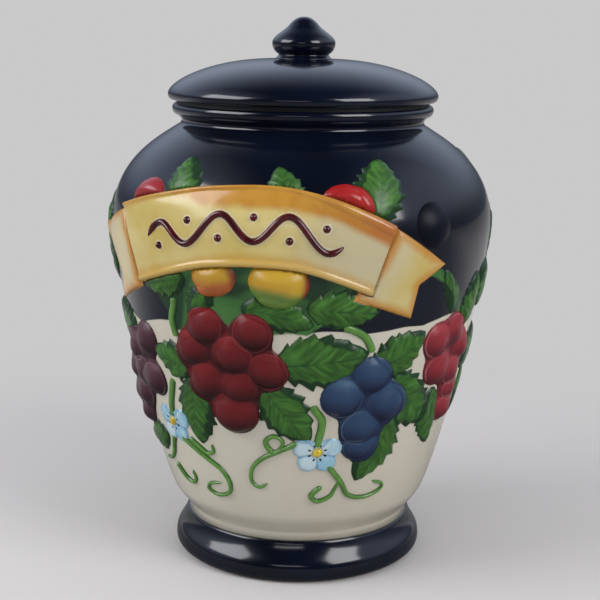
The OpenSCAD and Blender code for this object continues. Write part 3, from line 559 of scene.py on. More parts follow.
def make_bunch(name, glaze, az, dz, berries):
    patch = Patch(az, dz, 40, 42)
    heights, reaches, tones, tips = [], [], [], []
    for x, y, r in berries:
        # A berry's place is its height above the bunch's middle, not a way along the wall
        dy = patch.y - (float(level(dz + y)) - patch.s0)
        rho = np.hypot(patch.x - x, dy)
        cap = np.sqrt(np.maximum(r * r - rho * rho, 0)) - BERRY_SINK - 2 * np.maximum(rho - r, 0)
        heights.append(BERRY_FLAT * cap + BERRY_TILT * dy * np.clip(1 - rho / r, 0, 1) * 2)
        reaches.append(r + BED_RIM - rho)
        tones.append(rng.uniform())
        tips.append(np.clip(dy / r, -1, 1))
    heights = np.array(heights)
    best = heights.argmax(0)
    second, first = np.sort(heights, 0)[-2:]
    # The clay between neighbouring berries is filled in
    reach = soft_max(np.array(reaches), BED_FILL)
    cover = edge_profile(reach, 0.8)
    bed = BED_T * cover + BED_RISE * soft_step(reach, 1.0, 4.5)
    top = np.maximum(soft_max(heights, BERRY_BLEND), bed)
    marks = {
        "crease": np.clip(first - np.maximum(second, -2), 0, 6),
        "tone": np.array(tones)[best],
        "tip": np.take_along_axis(np.array(tips), best[None], 0)[0],
    }
    height = np.where(cover > 0, blurred(top, 2), bed)
    lay(name, patch, height, 0.5 * cover, cover, marks, glaze)


def tucked(height, patch):
    """A fruit's height, held down where it goes under the banner."""
    if abs(patch.az - RIBBON_AZ) >= RIBBON_REACH:
        return height
    x = patch.x + math.radians(patch.az - RIBBON_AZ) * row_r[patch.rows][:, None]
    away = -inside_distance(x, patch.s, ribbon_outline()[2])
    room = RIBBON_T + 0.2 + TUCKED_SLOPE * np.maximum(away, 0)
    return -soft_max(np.stack([-height, -room]), TUCKED_BLEND)


def make_round_fruit(name, glaze, az, dz, radius, sink):
    patch = Patch(az, dz, radius + 2, radius + 2)
    rho = np.hypot(patch.x, patch.y)
    height = tucked(np.sqrt(np.maximum(radius * radius - rho * rho, 0)) - sink, patch)
    marks = {
        "tip": patch.y / radius,
        "side": patch.x / radius,
        "crease": np.clip(height, 0, 6),
        "tone": np.full(rho.shape, 1.0 if name == "apple_left" else 0.0),
    }
    lay(name, patch, height, height - 0.6, height, marks, glaze)


def make_lemon(name, az, dz, half_l, half_w, turn):
    patch = Patch(az, dz, half_l + 2, half_l + 2)
    x, y = turned(patch.x, patch.y, turn)
    arc_r = (half_l**2 / half_w + half_w) / 2
    section = np.sqrt(np.maximum(arc_r**2 - x * x, 0)) - (arc_r - half_w)
    height = np.sqrt(np.maximum(section**2 - y * y, 0)) * (section > 0) - LEMON_SINK
    height = tucked(height, patch)
    marks = {
        "tip": y / half_w,
        "side": x / half_l,
        "tone": np.full(x.shape, 1.0 if name == "lemon_left" else 0.0),
    }
    lay(name, patch, height, height - 0.6, height, marks, "lemon_glaze")


def ribbon_outline():
    top, bottom = (flat(RIBBON_AZ, smooth_line(edge)) for edge in (RIBBON_TOP, RIBBON_BOTTOM))
    return top, bottom, np.vstack([top, bottom[::-1]])


def ribbon_mid(az):
    """Height of the ribbon's middle line."""
    top, low = smooth_line(RIBBON_TOP), smooth_line(RIBBON_BOTTOM)
    return (np.interp(az, top[:, 0], top[:, 1]) + np.interp(az, low[:, 0], low[:, 1])) / 2


def scroll_places():
    """The raised line's way over the ribbon, and the places of its dots."""
    first = RIBBON_AZ - SCROLL_SPAN / 2
    share = np.linspace(0, 1, SCROLL_WAVES * 12 + 1)
    az = first + SCROLL_SPAN * share
    sway = SCROLL_SWAY * np.sin(2 * np.pi * SCROLL_WAVES * share)
    dots = []
    for k in range(2 * SCROLL_WAVES):
        dot_az = first + SCROLL_SPAN * (k + 0.5) / (2 * SCROLL_WAVES)
        dots.append([dot_az, float(ribbon_mid(dot_az)) + (DOT_OFFSET if k % 2 else -DOT_OFFSET)])
    return np.stack([az, ribbon_mid(az) + sway], 1), dots


def half_round(distance, width):
    """From 0 at both sides of a roll to 1 along its middle."""
    return np.sqrt(np.clip(1 - ((distance - width / 2) / (width / 2)) ** 2, 0, 1))


def make_ribbon():
    patch = Patch(RIBBON_AZ, 0, 92, 44)
    top, bottom, outline = ribbon_outline()
    d = inside_distance(patch.x, patch.s, outline)
    d_top, share = path_distance(patch.x, patch.s, top)
    d_low, _ = path_distance(patch.x, patch.s, bottom)
    # The roll along the top is thin at the left and thick at the right, where it ends in a scroll
    roll = half_round(d_top, 2.8 + 3.0 * soft_step(share, 0.6, 0.95))
    roll = np.maximum(roll, 0.8 * half_round(d_low, RIBBON_LOW_W))
    cover = edge_profile(d, 0.7)
    sag = -0.6 * soft_step(np.minimum(d_top, d_low), 2, 14)
    height = RIBBON_T * cover + np.clip(cover, 0, 1) * (sag + RIBBON_ROLL * roll)
    height = np.where(cover > 0, blurred(height, 1), height)
    line, dots = scroll_places()
    to_line, _ = path_distance(patch.x, patch.s, flat(RIBBON_AZ, line[2:-2]))
    for x, s in flat(RIBBON_AZ, dots):
        to_line = np.minimum(to_line, np.hypot(patch.x - x, patch.s - s) - 0.3)
    marks = {
        "line": np.clip(to_line, 0, 10),
        "top": np.clip(d_top, 0, 40),
        "low": np.clip(d_low, 0, 40),
        "share": share,
    }
    lay("ribbon_panel", patch, height, cover * 0 - 3, cover, marks, "ribbon_glaze")


def make_tail(name, corners):
    az0, dz0 = np.mean(np.array(corners), 0)
    patch = Patch(az0, dz0, 38, 34)
    d = inside_distance(patch.x, patch.s, flat(az0, corners))
    folded = flat(az0, [corners[0], corners[5], corners[4]])
    fold, _ = path_distance(patch.x, patch.s, folded)
    cover = edge_profile(d, 0.6)
    # The tail dips where it comes out from behind the panel
    wave = 0.5 * np.sin(fold / 6.0) * np.clip(cover, 0, 1) - 0.3
    height = TAIL_T * cover + np.where(cover > 0, wave, 0)
    marks = {"edge": np.clip(d, 0, 20), "fold": np.clip(fold, 0, 40)}
    lay(name, patch, height, cover * 0.4, cover, marks, "tail_glaze")


def make_blossoms():
    for number, (az, dz) in enumerate(BLOSSOMS):
        patch = Patch(az, dz, 16, 16)
        d = np.full(patch.x.shape, -1e9)
        petal = np.zeros(patch.x.shape)
        for k in range(1, 5):
            a = math.radians(72 * k)
            cx, cy = -PETAL_REACH * math.sin(a), PETAL_REACH * math.cos(a)
            here = PETAL_R - np.hypot(patch.x - cx, patch.y - cy)
            petal = np.where(here > d, k, petal)
            d = np.maximum(d, here)
        rho = np.hypot(patch.x, patch.y)
        d = np.maximum(d, PETAL_REACH - rho)
        angle = np.arctan2(-patch.x, patch.y)
        gap = np.abs((angle * 5 / (2 * np.pi) + 0.5) % 1 - 0.5)
        seam = soft_step(0.5 - gap, 0, 0.12)
        cover = edge_profile(d, 0.8)
        dish = (seam - 1) * 0.4 * (rho > EYE_R) - 0.25 * (1 - soft_step(rho, 2, 8))
        marks = {
            "edge": np.clip(d, 0, 6),
            "rho": rho,
            "angle": angle / (2 * np.pi) + 0.5,
            "seam": seam,
            "tone": (petal * 0.37 + number * 0.21) % 1,
        }
        height = PETAL_T * cover + np.where(cover > 0, dish, 0)
        lay("blossoms", patch, height, 0.6 * cover, cover, marks, "blossom_glaze")


def make_eyes():
    for az, dz in BLOSSOMS:
        patch = Patch(az, dz, 5, 5)
        rho = np.hypot(patch.x, patch.y)
        height = EYE_T * np.sqrt(np.clip(1 - (rho / EYE_R) ** 2, 0, 1)) - 0.02
        height = np.where(rho < EYE_R, height, EYE_R - rho)
        lay("blossom_eyes", patch, height, height - 0.9, height, {}, "eye_glaze")


def tube_faces(rings, sides):
    """Faces between neighbouring rings of points."""
    return [[i * sides + k, i * sides + (k + 1) % sides,
             (i + 1) * sides + (k + 1) % sides, (i + 1) * sides + k]
            for i in range(rings - 1) for k in range(sides)]


def coil(path, w0, w1, height, base=-0.4):
    """A rolled coil of clay on the wall, tapered from w0 to w1: points, faces and marks."""
    places = smooth_line(path, 7)
    s, az, count = level(places[:, 1]), places[:, 0], len(places)
    centre = wall_points(az, s, np.zeros(count))
    out = wall_points(az, s, np.ones(count)) - centre
    along = np.gradient(centre, axis=0)
    along /= np.linalg.norm(along, axis=1)[:, None]
    across = np.cross(along, out)
    across /= np.linalg.norm(across, axis=1)[:, None]
    share = np.linspace(0, 1, count)
    width = w0 + (w1 - w0) * share
    tip = np.sqrt(np.clip(np.minimum(share / 0.04, (1 - share) / 0.05), 0.06, 1))
    sides = 14
    angles = np.linspace(0, 2 * np.pi, sides, endpoint=False)
    rings = []
    for a in angles:
        x = 0.5 * width * tip * math.cos(a)
        lift = np.maximum(math.sin(a), -0.4) * (height - base)
        y = base + lift * np.minimum(1, width / w0 + 0.25) * tip
        rings.append(centre + across * x[:, None] + out * y[:, None])
    points = np.stack(rings, 1).reshape(-1, 3)
    faces = tube_faces(count, sides)
    middle, last = len(points), (count - 1) * sides
    points = np.vstack([points, centre[0] + out[0] * 0.2, centre[-1] + out[-1] * 0.2])
    for k in range(sides):
        n = (k + 1) % sides
        faces.append([middle, middle, n, k])
        faces.append([middle + 1, middle + 1, last + k, last + n])
    marks = {"round": np.concatenate([np.tile(np.sin(angles), count), [0, 0]])}
    return points, np.array(faces), marks


def bead(az, dz, radius, top, base):
    """A round drop of clay: points, faces and marks."""
    s, sides, rings = float(level(dz)), 16, 6
    points, crown = [], []
    for k in range(rings + 1):
        a = k / rings * math.pi / 2
        rho, h = radius * math.cos(a), base + (top - base) * math.sin(a)
        for b in np.arange(sides) * 2 * math.pi / sides:
            here = az + math.degrees(rho * math.cos(b) / BELLY_R)
            points.append(wall_points(here, s + rho * math.sin(b), h))
            crown.append(math.sin(a))
    middle = len(points)
    points.append(wall_points(az, s, base))
    faces = tube_faces(rings + 1, sides)
    faces += [[middle, middle, (i + 1) % sides, i] for i in range(sides)]
    return np.array(points), np.array(faces), {"round": np.array(crown + [0.0])}


# ---- Glazes ----


def rgb(text):
    """A colour written as six hexadecimal digits, for a colour socket."""
    shares = [int(text[k:k + 2], 16) / 255 for k in (0, 2, 4)]
    return (*(c / 12.92 if c <= 0.04045 else ((c + 0.055) / 1.055) ** 2.4 for c in shares), 1.0)


class Value:
    """What a node gives, to be written in sums like a number."""

    def __init__(self, tree, socket):
        self.tree, self.socket = tree, socket

    def __add__(self, other):
        return self.tree.maths("ADD", self, other)

    def __sub__(self, other):
        return self.tree.maths("SUBTRACT", self, other)

    def __rsub__(self, other):
        return self.tree.maths("SUBTRACT", other, self)

    def __mul__(self, other):
        return self.tree.maths("MULTIPLY", self, other)

    def __abs__(self):
        return self.tree.maths("ABSOLUTE", self)


class Nodes:
    """Short names for the nodes that the glazes and the studio use."""

    def __init__(self, tree):
        self.nodes, self.links = tree.nodes, tree.links

    def put(self, socket, value):
        """Sets a socket to a number or a colour's digits, or links a node's value to it."""
        if isinstance(value, Value):
            self.links.new(value.socket, socket)
        else:
            socket.default_value = rgb(value) if isinstance(value, str) else value

    def node(self, kind, inputs, output=0, **settings):
        made = self.nodes.new("ShaderNode" + kind)
        for key, value in settings.items():
            setattr(made, key, value)
        for key, value in inputs.items():
            self.put(made.inputs[key], value)
        return Value(self, made.outputs[output])

    def maths(self, operation, *values):
        return self.node("Math", dict(enumerate(values)), operation=operation)

    def mark(self, name):
        return self.node("Attribute", {}, "Fac", attribute_name=name)

    def place(self, kind="Object"):
        return self.node("TexCoord", {}, kind)

    def part(self, place, axis):
        return self.node("SeparateXYZ", {0: place}, axis)

    def ray(self, kind):
        return self.node("LightPath", {}, kind)

    def noise(self, scale, detail=3.0, vector=None, distortion=0.0):
        return self.node("TexNoise", {
            "Scale": scale, "Detail": detail, "Roughness": 0.55, "Distortion": distortion,
            "Vector": vector or self.place()}, "Fac")

    def step(self, value, low, high):
        """From 0 where a value is low to 1 where it is high."""
        return self.node("MapRange", {"Value": value, "From Min": low, "From Max": high},
                         "Result", interpolation_type="SMOOTHSTEP")

    def below(self, value, low, high):
        return 1.0 - self.step(value, low, high)

    def mix(self, share, a, b):
        return self.node("Mix", {"Factor": share, "A": a, "B": b}, "Result", data_type="RGBA")

    def blend(self, value, low, high, a, b):
        """One colour where a value is low and another where it is high."""
        return self.mix(self.step(value, low, high), a, b)


class Glaze(Nodes):
    """A material of glossy fired glaze."""

    def __init__(self, name):
        self.material = bpy.data.materials.new(name)
        self.material.use_nodes = True
        super().__init__(self.material.node_tree)
        self.shader = self.nodes["Principled BSDF"]

    def set(self, inputs):
        for key, value in inputs.items():
            self.put(self.shader.inputs[key], value)
        return self.material

    def finish(self, colour, roughness=0.15, coat=0.15, bump=0.012, grain=0.04,
               bump_scale=260.0, specular=0.5):
        """Adds a gloss of slightly uneven roughness and a faint orange-peel surface."""
        uneven = self.maths("MULTIPLY_ADD", self.noise(90.0, 4.0), grain, roughness - grain / 2)
        height = self.noise(bump_scale, 2.0) * 0.25 + self.noise(55.0, 1.0)
        peel = self.node("Bump", {"Height": height, "Strength": bump, "Distance": 0.004}, "Normal")
        return self.set({
            "Base Color": colour, "Roughness": uneven, "Specular IOR Level": specular, "IOR": 1.5,
            "Coat Weight": coat, "Coat Roughness": 0.05, "Normal": peel, "Coat Normal": peel})


NAVY, NAVY_LIGHT = "060a14", "0a1022"
CREAM, CREAM_WARM = "c6c2b3", "beb8a6"
BISQUE = "cfc3ab"
# The colours of berries: a deep colour for painted shade on their lower sides and in the creases,
# the main colour, a light colour for painted highlights on their tops, and the colour of the
# painted highlight beside a crease
BERRIES = {
    "crimson_glaze": ("350b0e", "621217", "82191c", "8c3838"),
    "blue_glaze": ("18223f", "283f5e", "3a5872", "647c8a"),
    "red_glaze": ("5a1a22", "862630", "a43c42", "b87a7c"),
    "plum_glaze": ("2a1219", "482832", "604049", "8a767e"),
}


def navy_colour(g):
    return g.blend(g.noise(14.0), 0.35, 0.75, NAVY, NAVY_LIGHT)


def cream_colour(g):
    return g.blend(g.noise(11.0, 4.0), 0.35, 0.75, CREAM, CREAM_WARM)


def navy_glaze(g):
    return g.finish(navy_colour(g))


def dark_fruit_glaze(g):
    return g.finish(navy_colour(g), roughness=0.42, coat=0.0, grain=0.06, specular=0.18)


def body_glaze(g):
    """Navy above the garland, cream below it and inside, green between the leaves."""
    edge = g.mark("navy") + g.maths("MULTIPLY_ADD", g.noise(42.0, 1.0), 5.0, -2.5)
    colour = g.blend(edge, -0.3, 0.5, cream_colour(g), navy_colour(g))
    patches = g.step(g.noise(30.0, 2.0, distortion=0.6), 0.44, 0.56)
    green = g.mix(patches, "1c3722", g.mix(g.noise(90.0, 2.0), "31602c", "48783c"))
    ragged = (g.noise(55.0) - 0.5) * 9.0
    colour = g.blend(g.mark("wash") + ragged, -0.6, 0.8, colour, green)
    colour = g.blend(g.mark("inside"), 0.3, 0.5, colour, cream_colour(g))
    return g.finish(colour, bump=0.01)


def foot_glaze(g):
    """Navy, and bare fired clay where the foot stands."""
    return g.finish(g.blend(g.mark("bare"), 0.4, 0.6, navy_colour(g), BISQUE))


def leaf_glaze(g):
    along, across = g.mark("along"), g.mark("across")
    # Brush strokes run from the midrib outwards and towards the tip
    slant = {0: along * 9.0 - abs(across) * 3.0, 1: across * 1.3, 2: g.mark("tone") * 9.0}
    strokes = g.noise(1.3, vector=g.node("CombineXYZ", slant))
    colour = g.blend(strokes, 0.36, 0.62, "2c501f", "3c6a29")
    colour = g.mix(g.step(strokes, 0.56, 0.72) * 0.5, colour, "508236")
    fade = g.step(along + g.noise(40.0, 2.0) * 0.5, 1.0, 1.35)
    colour = g.mix(fade * 0.55, colour, "234a2a")
    # Dark strokes along the teeth, of uneven width
    rim = g.mark("edge") + g.step(g.noise(48.0, 2.0), 0.4, 0.62) * -3.2
    rim = rim + g.noise(160.0, 2.0) * -0.8
    colour = g.mix(g.below(rim, -0.4, 0.9) * 0.9, colour, "18331f")
    vein = g.below(g.mark("vein"), 0.2, 0.75) * g.step(g.noise(60.0, 2.0), 0.38, 0.6)
    colour = g.mix(vein * 0.75, colour, "1e4024")
    return g.finish(colour, roughness=0.34, coat=0.05, grain=0.06, specular=0.3)


def berry_glaze(g, deep_shade, main, highlight, seam):
    tip, crease, soft = g.mark("tip"), g.mark("crease"), g.noise(70.0, 2.0)
    # Painted shade: each berry is darker towards its lower side
    colour = g.blend(tip + soft * 0.6, -0.5, 0.75, deep_shade, main)
    # Painted highlight: some berries are lighter at the top
    colour = g.mix(g.step(tip + soft * 0.8, 0.75, 1.35) * g.mark("tone"), colour, highlight)
    # A painted highlight: a lighter line beside some of the creases
    line = g.step(crease, 0.3, 0.9) * g.below(crease, 1.2, 2.6)
    line = line * g.step(g.noise(38.0, 2.0), 0.42, 0.62)
    colour = g.mix(line * 0.55, colour, seam)
    # Painted shade in the creases between neighbouring berries
    colour = g.mix(g.below(crease, 0.0, 0.7) * 0.5, colour, deep_shade)
    return g.finish(colour, roughness=0.4, coat=0.04, bump=0.015, grain=0.05, specular=0.32)


def apple_glaze(g):
    soft = g.noise(50.0)
    colour = g.blend(soft, 0.35, 0.7, "9c1414", "b3201c")
    colour = g.mix(g.below(g.mark("side") + soft * 0.5, -0.5, 0.4) * 0.4, colour, "7a1216")
    # One apple is duller and pinker than the others
    colour = g.mix(g.mark("tone") * 0.85, colour, "8a2a32")
    return g.finish(colour, roughness=0.3, coat=0.08, bump=0.015, grain=0.05)


def lemon_glaze(g):
    soft = g.noise(45.0)
    colour = g.blend(soft, 0.3, 0.7, "b89628", "aa801e")
    # One fruit blushes along its lower edge, the others turn green there
    low = g.blend(g.mark("tone"), 0.49, 0.51, "5f7c33", "a85a2a")
    colour = g.blend(soft * 0.6 - g.mark("tip"), 0.3, 0.72, colour, low)
    colour = g.blend(g.mark("side") + soft * 0.3, 0.62, 0.88, colour, "7a2a22")
    return g.finish(colour, roughness=0.36, coat=0.05, bump=0.02, grain=0.05, bump_scale=500.0)


def ribbon_glaze(g):
    """Yellow with an ochre band along the top, paler towards the right end."""
    soft, fine = g.noise(38.0), g.noise(90.0, 2.0)
    share, top, low = g.mark("share"), g.mark("top"), g.mark("low")
    colour = g.blend(soft, 0.35, 0.7, "c4b476", "bba65c")
    colour = g.blend(share + soft * 0.25, 0.72, 1.0, colour, "b9ae8a")
    # The band along the top: narrow at the left, wide in the middle, deep at the right end
    width = g.maths("MULTIPLY_ADD", g.step(share, 0.26, 0.36), 6.5, 3.0)
    band = g.below(top + (soft - 0.5) * 7.0 - width, -1.5, 3.0)
    ochre = g.blend(fine, 0.35, 0.65, "b5812a", "a96f1c")
    ochre = g.blend(share + fine * 0.1, 0.86, 1.0, ochre, "a8601c")
    colour = g.mix(band * 0.92, colour, ochre)
    # A painted highlight along the crest of the top edge
    colour = g.mix(g.below(top, 0.5, 1.3) * 0.55, colour, "d6bd7c")
    colour = g.mix(g.below(low + soft * -5.0, 1.5, 6.5) * 0.6, colour, "ba8c36")
    colour = g.mix(g.below(low, 3.2, 4.4) * 0.6, colour, "c3a35a")
    # A pale outline beside the raised line
    colour = g.mix(g.below(g.mark("line"), 1.9, 2.5) * 0.6, colour, "ddd0b4")
    return g.finish(colour, roughness=0.2)


def tail_glaze(g):
    soft = g.noise(40.0)
    colour = g.blend(soft, 0.35, 0.7, "c4b67e", "bba55a")
    colour = g.mix(g.below(g.mark("fold"), 3.0, 20.0) * 0.8, colour, "bcb291")
    colour = g.mix(g.below(g.mark("edge") + soft * -4.0, -1.0, 4.5) * 0.85, colour, "b87c2c")
    return g.finish(colour, roughness=0.2)


def line_glaze(g):
    colour = g.blend(g.noise(160.0, 2.0), 0.3, 0.7, "340a10", "4c1016")
    return g.finish(colour, roughness=0.14, coat=0.2, bump=0.015)


def blossom_glaze(g):
    soft = g.noise(110.0)
    colour = g.blend(soft + g.mark("tone") * 0.25, 0.45, 0.75, "8ab6cc", "b9ced4")
    colour = g.mix(g.below(g.mark("edge") + soft * -2.0, -0.6, 1.6) * 0.6, colour, "78a8c0")
    colour = g.mix((1.0 - g.mark("seam")) * 0.5, colour, "4a7fae")
    # A ring of short dark dabs around the eye
    spokes = g.maths("FRACT", g.mark("angle") * 8.0)
    dab = g.below(abs(spokes - 0.5), 0.10, 0.18)
    ring = g.below(abs(g.mark("rho") - 4.1), 0.6, 0.9)
    return g.finish(g.mix(dab * ring, colour, "141a30"), roughness=0.22)


def eye_glaze(g):
    colour = g.blend(g.noise(300.0, 2.0), 0.35, 0.7, "c9b53c", "b8982c")
    return g.finish(colour, roughness=0.24, bump=0.02)


def tendril_glaze(g):
    colour = g.blend(g.noise(140.0, 2.0), 0.35, 0.7, "5c8a3c", "4a7832")
    colour = g.mix(g.below(g.mark("round"), 0.35, 0.85), colour, "33592a")
    return g.finish(colour, roughness=0.26, coat=0.12, grain=0.05)


def seal_rubber(g):
    colour = g.mix(g.noise(200.0), "121214", "1c1c1f")
    return g.finish(colour, roughness=0.55, coat=0.0, bump=0.05, grain=0.15)


materials = {}
for make in (navy_glaze, body_glaze, dark_fruit_glaze, foot_glaze, leaf_glaze):
    materials[make.__name__] = make(Glaze(make.__name__))
for name, colours in BERRIES.items():
    materials[name] = berry_glaze(Glaze(name), *colours)
for make in (apple_glaze, lemon_glaze, ribbon_glaze, tail_glaze, line_glaze, blossom_glaze,
             eye_glaze, tendril_glaze, seal_rubber):
    materials[make.__name__] = make(Glaze(make.__name__))


def dress(obj, node, body, glaze):
    """Puts a glazed object in the place of a CAD node, on a body."""
    obj.data.materials.append(materials[glaze])
    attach(obj, body)
    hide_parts(node)


# ---- Lay the relief, the lowest pieces first ----

for number, leaf in enumerate(FRONT_LEAVES, 1):
    make_leaf(f"leaf_{number}", *leaf)
for number, spray in enumerate(LEAF_SPRAYS, 1):
    for leaf in spray:
        make_leaf(f"leaf_spray_{number}", *leaf)
for row in LEMONS:
    make_lemon(*row)
for row in ROUND_FRUIT:
    make_round_fruit(*row)
for row in BUNCHES:
    make_bunch(*row)
make_blossoms()
make_eyes()
make_tail("ribbon_tail_left", TAIL_LEFT)
make_tail("ribbon_tail_right", TAIL_RIGHT)
make_ribbon()

for name in dict.fromkeys(p["name"] for p in pieces):
    numbers = [k for k, p in enumerate(pieces) if p["name"] == name and (owner == k).any()]
    obj = new_object(name + "_sprig", *joined([relief_mesh(k) for k in numbers]))
    dress(obj, name, "jar", pieces[numbers[0]]["glaze"])


def lay_coils(node, ending, parts, glaze):
    """One object of coils and beads, whose end faces are triangles."""
    points, faces, marks = joined(parts)
    faces = [f[1:] if f[0] == f[1] else f for f in faces]
    dress(new_object(node + ending, points, faces, marks), node, "jar", glaze)


for node, paths, width, end_width in (
        ("stems", STEMS, STEM_W, STEM_W),
        ("tendrils_front", TENDRILS_FRONT, TENDRIL_W, TENDRIL_W * 0.5),
        ("tendrils_back", TENDRILS_BACK, TENDRIL_W, TENDRIL_W * 0.5)):
    coils = [coil(path, width, end_width, TENDRIL_H) for path in paths]
    lay_coils(node, "_coils", coils, "tendril_glaze")


def make_scrollwork():
    line, dots = scroll_places()
    base, top = RIBBON_T - 1.6, RIBBON_T + LINE_H - 0.2
    parts = [coil(line, LINE_W * 1.4, LINE_W * 1.4, top, base)]
    parts += [bead(az, dz, LINE_W * 0.75, top, base) for az, dz in dots]
    lay_coils("ribbon_scrollwork", "_line", parts, "line_glaze")


make_scrollwork()


# ---- Thrown pieces ----

# The lower edge of the navy, and the region washed green, as azimuth and height
NAVY_EDGE = [
    [-180, -44], [-75, -45], [-57, -46.5], [-47, -43], [-40, -40], [-14, -40], [3.5, -42],
    [13, -43], [27, -43], [38, -42], [53, -40], [65, -41], [90, -44], [180, -44],
]
GREEN_WASH = [
    [-50, -18], [-39, -10], [-14, -8], [0, -10], [22, -22], [21.5, -33], [8.5, -38],
    [2.5, -43], [-4, -42], [-12, -42], [-20, -43], [-28, -44], [-34.5, -45], [-42, -46],
    [-43, -36], [-47, -28],
]
# A painted stem from the right tail down to the bunch below it, and half its width
PAINTED_STEM = [[38, -13], [40.8, -15], [45.8, -18.5], [50.5, -24], [54.5, -32.3], [57.8, -39.5]]
PAINTED_STEM_W = 3.2
# The paint's marks end this far above and below 0
MARK_REACH = 30


def thrown(node, profile, body, glaze, marks=None, steps=240):
    obj = revolved(node + "_glazed", profile, steps, marks)
    dress(obj, node, body, glaze)
    return obj


def leaf_footprint(az, dz):
    """Above 0 where leaves crowd around a place of the wall above the navy's lower edge."""
    is_leaf = np.array([p["name"].startswith("leaf") for p in pieces] + [False])
    leafy = blurred(is_leaf[owner].astype(float), 10)
    column = np.round(az / STEP_AZ).astype(int) % COLUMNS
    row = np.clip(np.searchsorted(row_z, dz + belly_z), 0, len(row_z) - 1)
    crowd = (leafy[row, column] - 0.62) * 20
    return np.where((dz > -40) & (dz < SHOULDER_H - 2), crowd, -MARK_REACH)


def body_profile():
    """The closed profile of the jar, and the number of the point where its inside starts."""
    bead_z, bead_end = shoulder_z + GROOVE_H, BEAD_R - BEAD_ROUND
    groove_side = bulge_handle((SHOULDER_R + bead_end) / 2, GROOVE_R)
    bead_side = bulge_handle(bead_end, BEAD_R)
    neck = np.vstack([
        cubic([SHOULDER_R, shoulder_z], [groove_side, shoulder_z + GROOVE_H * 0.3],
              [groove_side, bead_z - GROOVE_H * 0.35], [bead_end, bead_z], 20)[1:],
        cubic([bead_end, bead_z], [bead_side, bead_z + (mouth_z - bead_z) * 0.3],
              [bead_side, mouth_z - (mouth_z - bead_z) * 0.2], [bead_end, mouth_z], 14)[1:],
    ])
    floor_z = foot_h + FLOOR_T
    inner = WALL - WALL_T * np.stack([np.interp(wall_s, row_s, row_out[:, 0]),
                                      np.interp(wall_s, row_s, row_out[:, 1])], 1)
    inner = inner[(inner[:, 1] > floor_z + 4) & (inner[:, 1] < shoulder_z - 3)][::-1]
    outer = np.vstack([[[0, foot_h], [WAIST_R, foot_h]], WALL, neck])
    mouth = np.array([[MOUTH_R + 1.2, mouth_z], [MOUTH_R + 0.4, mouth_z - 0.4],
                      [MOUTH_R, mouth_z - 1.4], [MOUTH_R, shoulder_z - 1]])
    floor = np.array([[inner[-1, 0] - 1.2, floor_z + 1.2], [inner[-1, 0] - 4, floor_z],
                      [0, floor_z]])
    return np.vstack([outer, mouth, inner, floor]), len(outer) + len(mouth) - 1


def make_body():
    profile, inside_from = body_profile()
    inside = [1.0 if k >= inside_from else 0.0 for k in range(len(profile))]
    obj = thrown("jar_body", profile, "jar", "body_glaze", {"inside": inside}, steps=480)
    co = np.zeros(len(obj.data.vertices) * 3)
    obj.data.vertices.foreach_get("co", co)
    x, y, z = co.reshape(-1, 3).T / MM
    az, dz = np.degrees(np.arctan2(x, -y)), z - belly_z
    edge_az, edge_dz = np.array(NAVY_EDGE).T
    navy = dz - np.interp(az, edge_az, edge_dz) - 1.6 * np.abs(np.sin(np.radians(az * 9)))
    round_wall = [math.radians(BELLY_R), 1.0]
    wash = inside_distance(az * round_wall[0], dz, np.array(GREEN_WASH) * round_wall)
    stem, _ = path_distance(az * round_wall[0], dz, np.array(PAINTED_STEM) * round_wall)
    wash = np.maximum(np.maximum(wash, PAINTED_STEM_W - stem), leaf_footprint(az, dz))
    add_marks(obj.data, {"navy": np.clip(navy, -MARK_REACH, MARK_REACH),
                         "wash": np.clip(wash, -MARK_REACH, MARK_REACH)})


def make_foot():
    bulge = [foot_r, FOOT_BULGE_Z]
    top_r, rise = WAIST_R + FOOT_LEDGE, foot_h - FOOT_BULGE_Z
    lower = cubic([FOOT_BASE_R, 0], [foot_r - 2.2, 0], [foot_r, FOOT_BULGE_Z * 0.45], bulge, 18)
    upper = cubic(bulge, [foot_r, FOOT_BULGE_Z + 0.46 * rise],
                  [top_r + 2.6, foot_h - 0.6 * rise], [top_r, foot_h - 0.5], 24)
    profile = rounded(
        [[FOOT_BASE_R, 0, 1]] + lower[1:].tolist() + upper[1:].tolist()
        + [[top_r - 0.5, foot_h], [FOOT_BORE_R, foot_h], [FOOT_BORE_R, 0, 1]], 1.0)
    bare = [1.0 if (z < 0.6 or r < FOOT_BORE_R + 1) else 0.0 for r, z in profile]
    thrown("foot_ring", profile, "jar", "foot_glaze", {"bare": bare})


def make_lid():
    rim_z = lid_seat_z + RIM_H
    hollow_r, hollow_z = FLANGE_R - FLANGE_T, lid_seat_z - FLANGE_H
    ceiling_r, ceiling_rise = lid_r - DOME_T, DOME_RISE - DOME_T
    rim = cubic([lid_r - 2.5, lid_seat_z], [lid_r - 0.8, lid_seat_z],
                [lid_r, lid_seat_z + RIM_H * 0.4], [lid_r, rim_z], 12)
    dome = cubic([lid_r, rim_z], [lid_r, rim_z + DOME_SIDE_H], [DOME_SIDE_R, knob_seat_z],
                 [KNOB_COLLAR_R, knob_seat_z], 60)
    ceiling = [[ceiling_r * math.cos(a), rim_z + ceiling_rise * math.sin(a)]
               for a in np.linspace(math.pi / 2, math.acos(hollow_r / ceiling_r), 16)]
    ceiling[0][0] = 0
    whole = rounded(
        [[FLANGE_R, lid_seat_z]] + rim.tolist() + dome[1:].tolist() + [[0, knob_seat_z]]
        + ceiling + [[hollow_r, hollow_z, 1], [FLANGE_R, hollow_z, 1]], 1.2)
    # The profile meets the axis twice, so it starts there: the underside first, then the top
    start = int(np.argmin(np.hypot(whole[:, 0], whole[:, 1] - knob_seat_z))) + 1
    thrown("lid_dome", np.vstack([whole[start:], whole[:start]]), "lid", "navy_glaze")


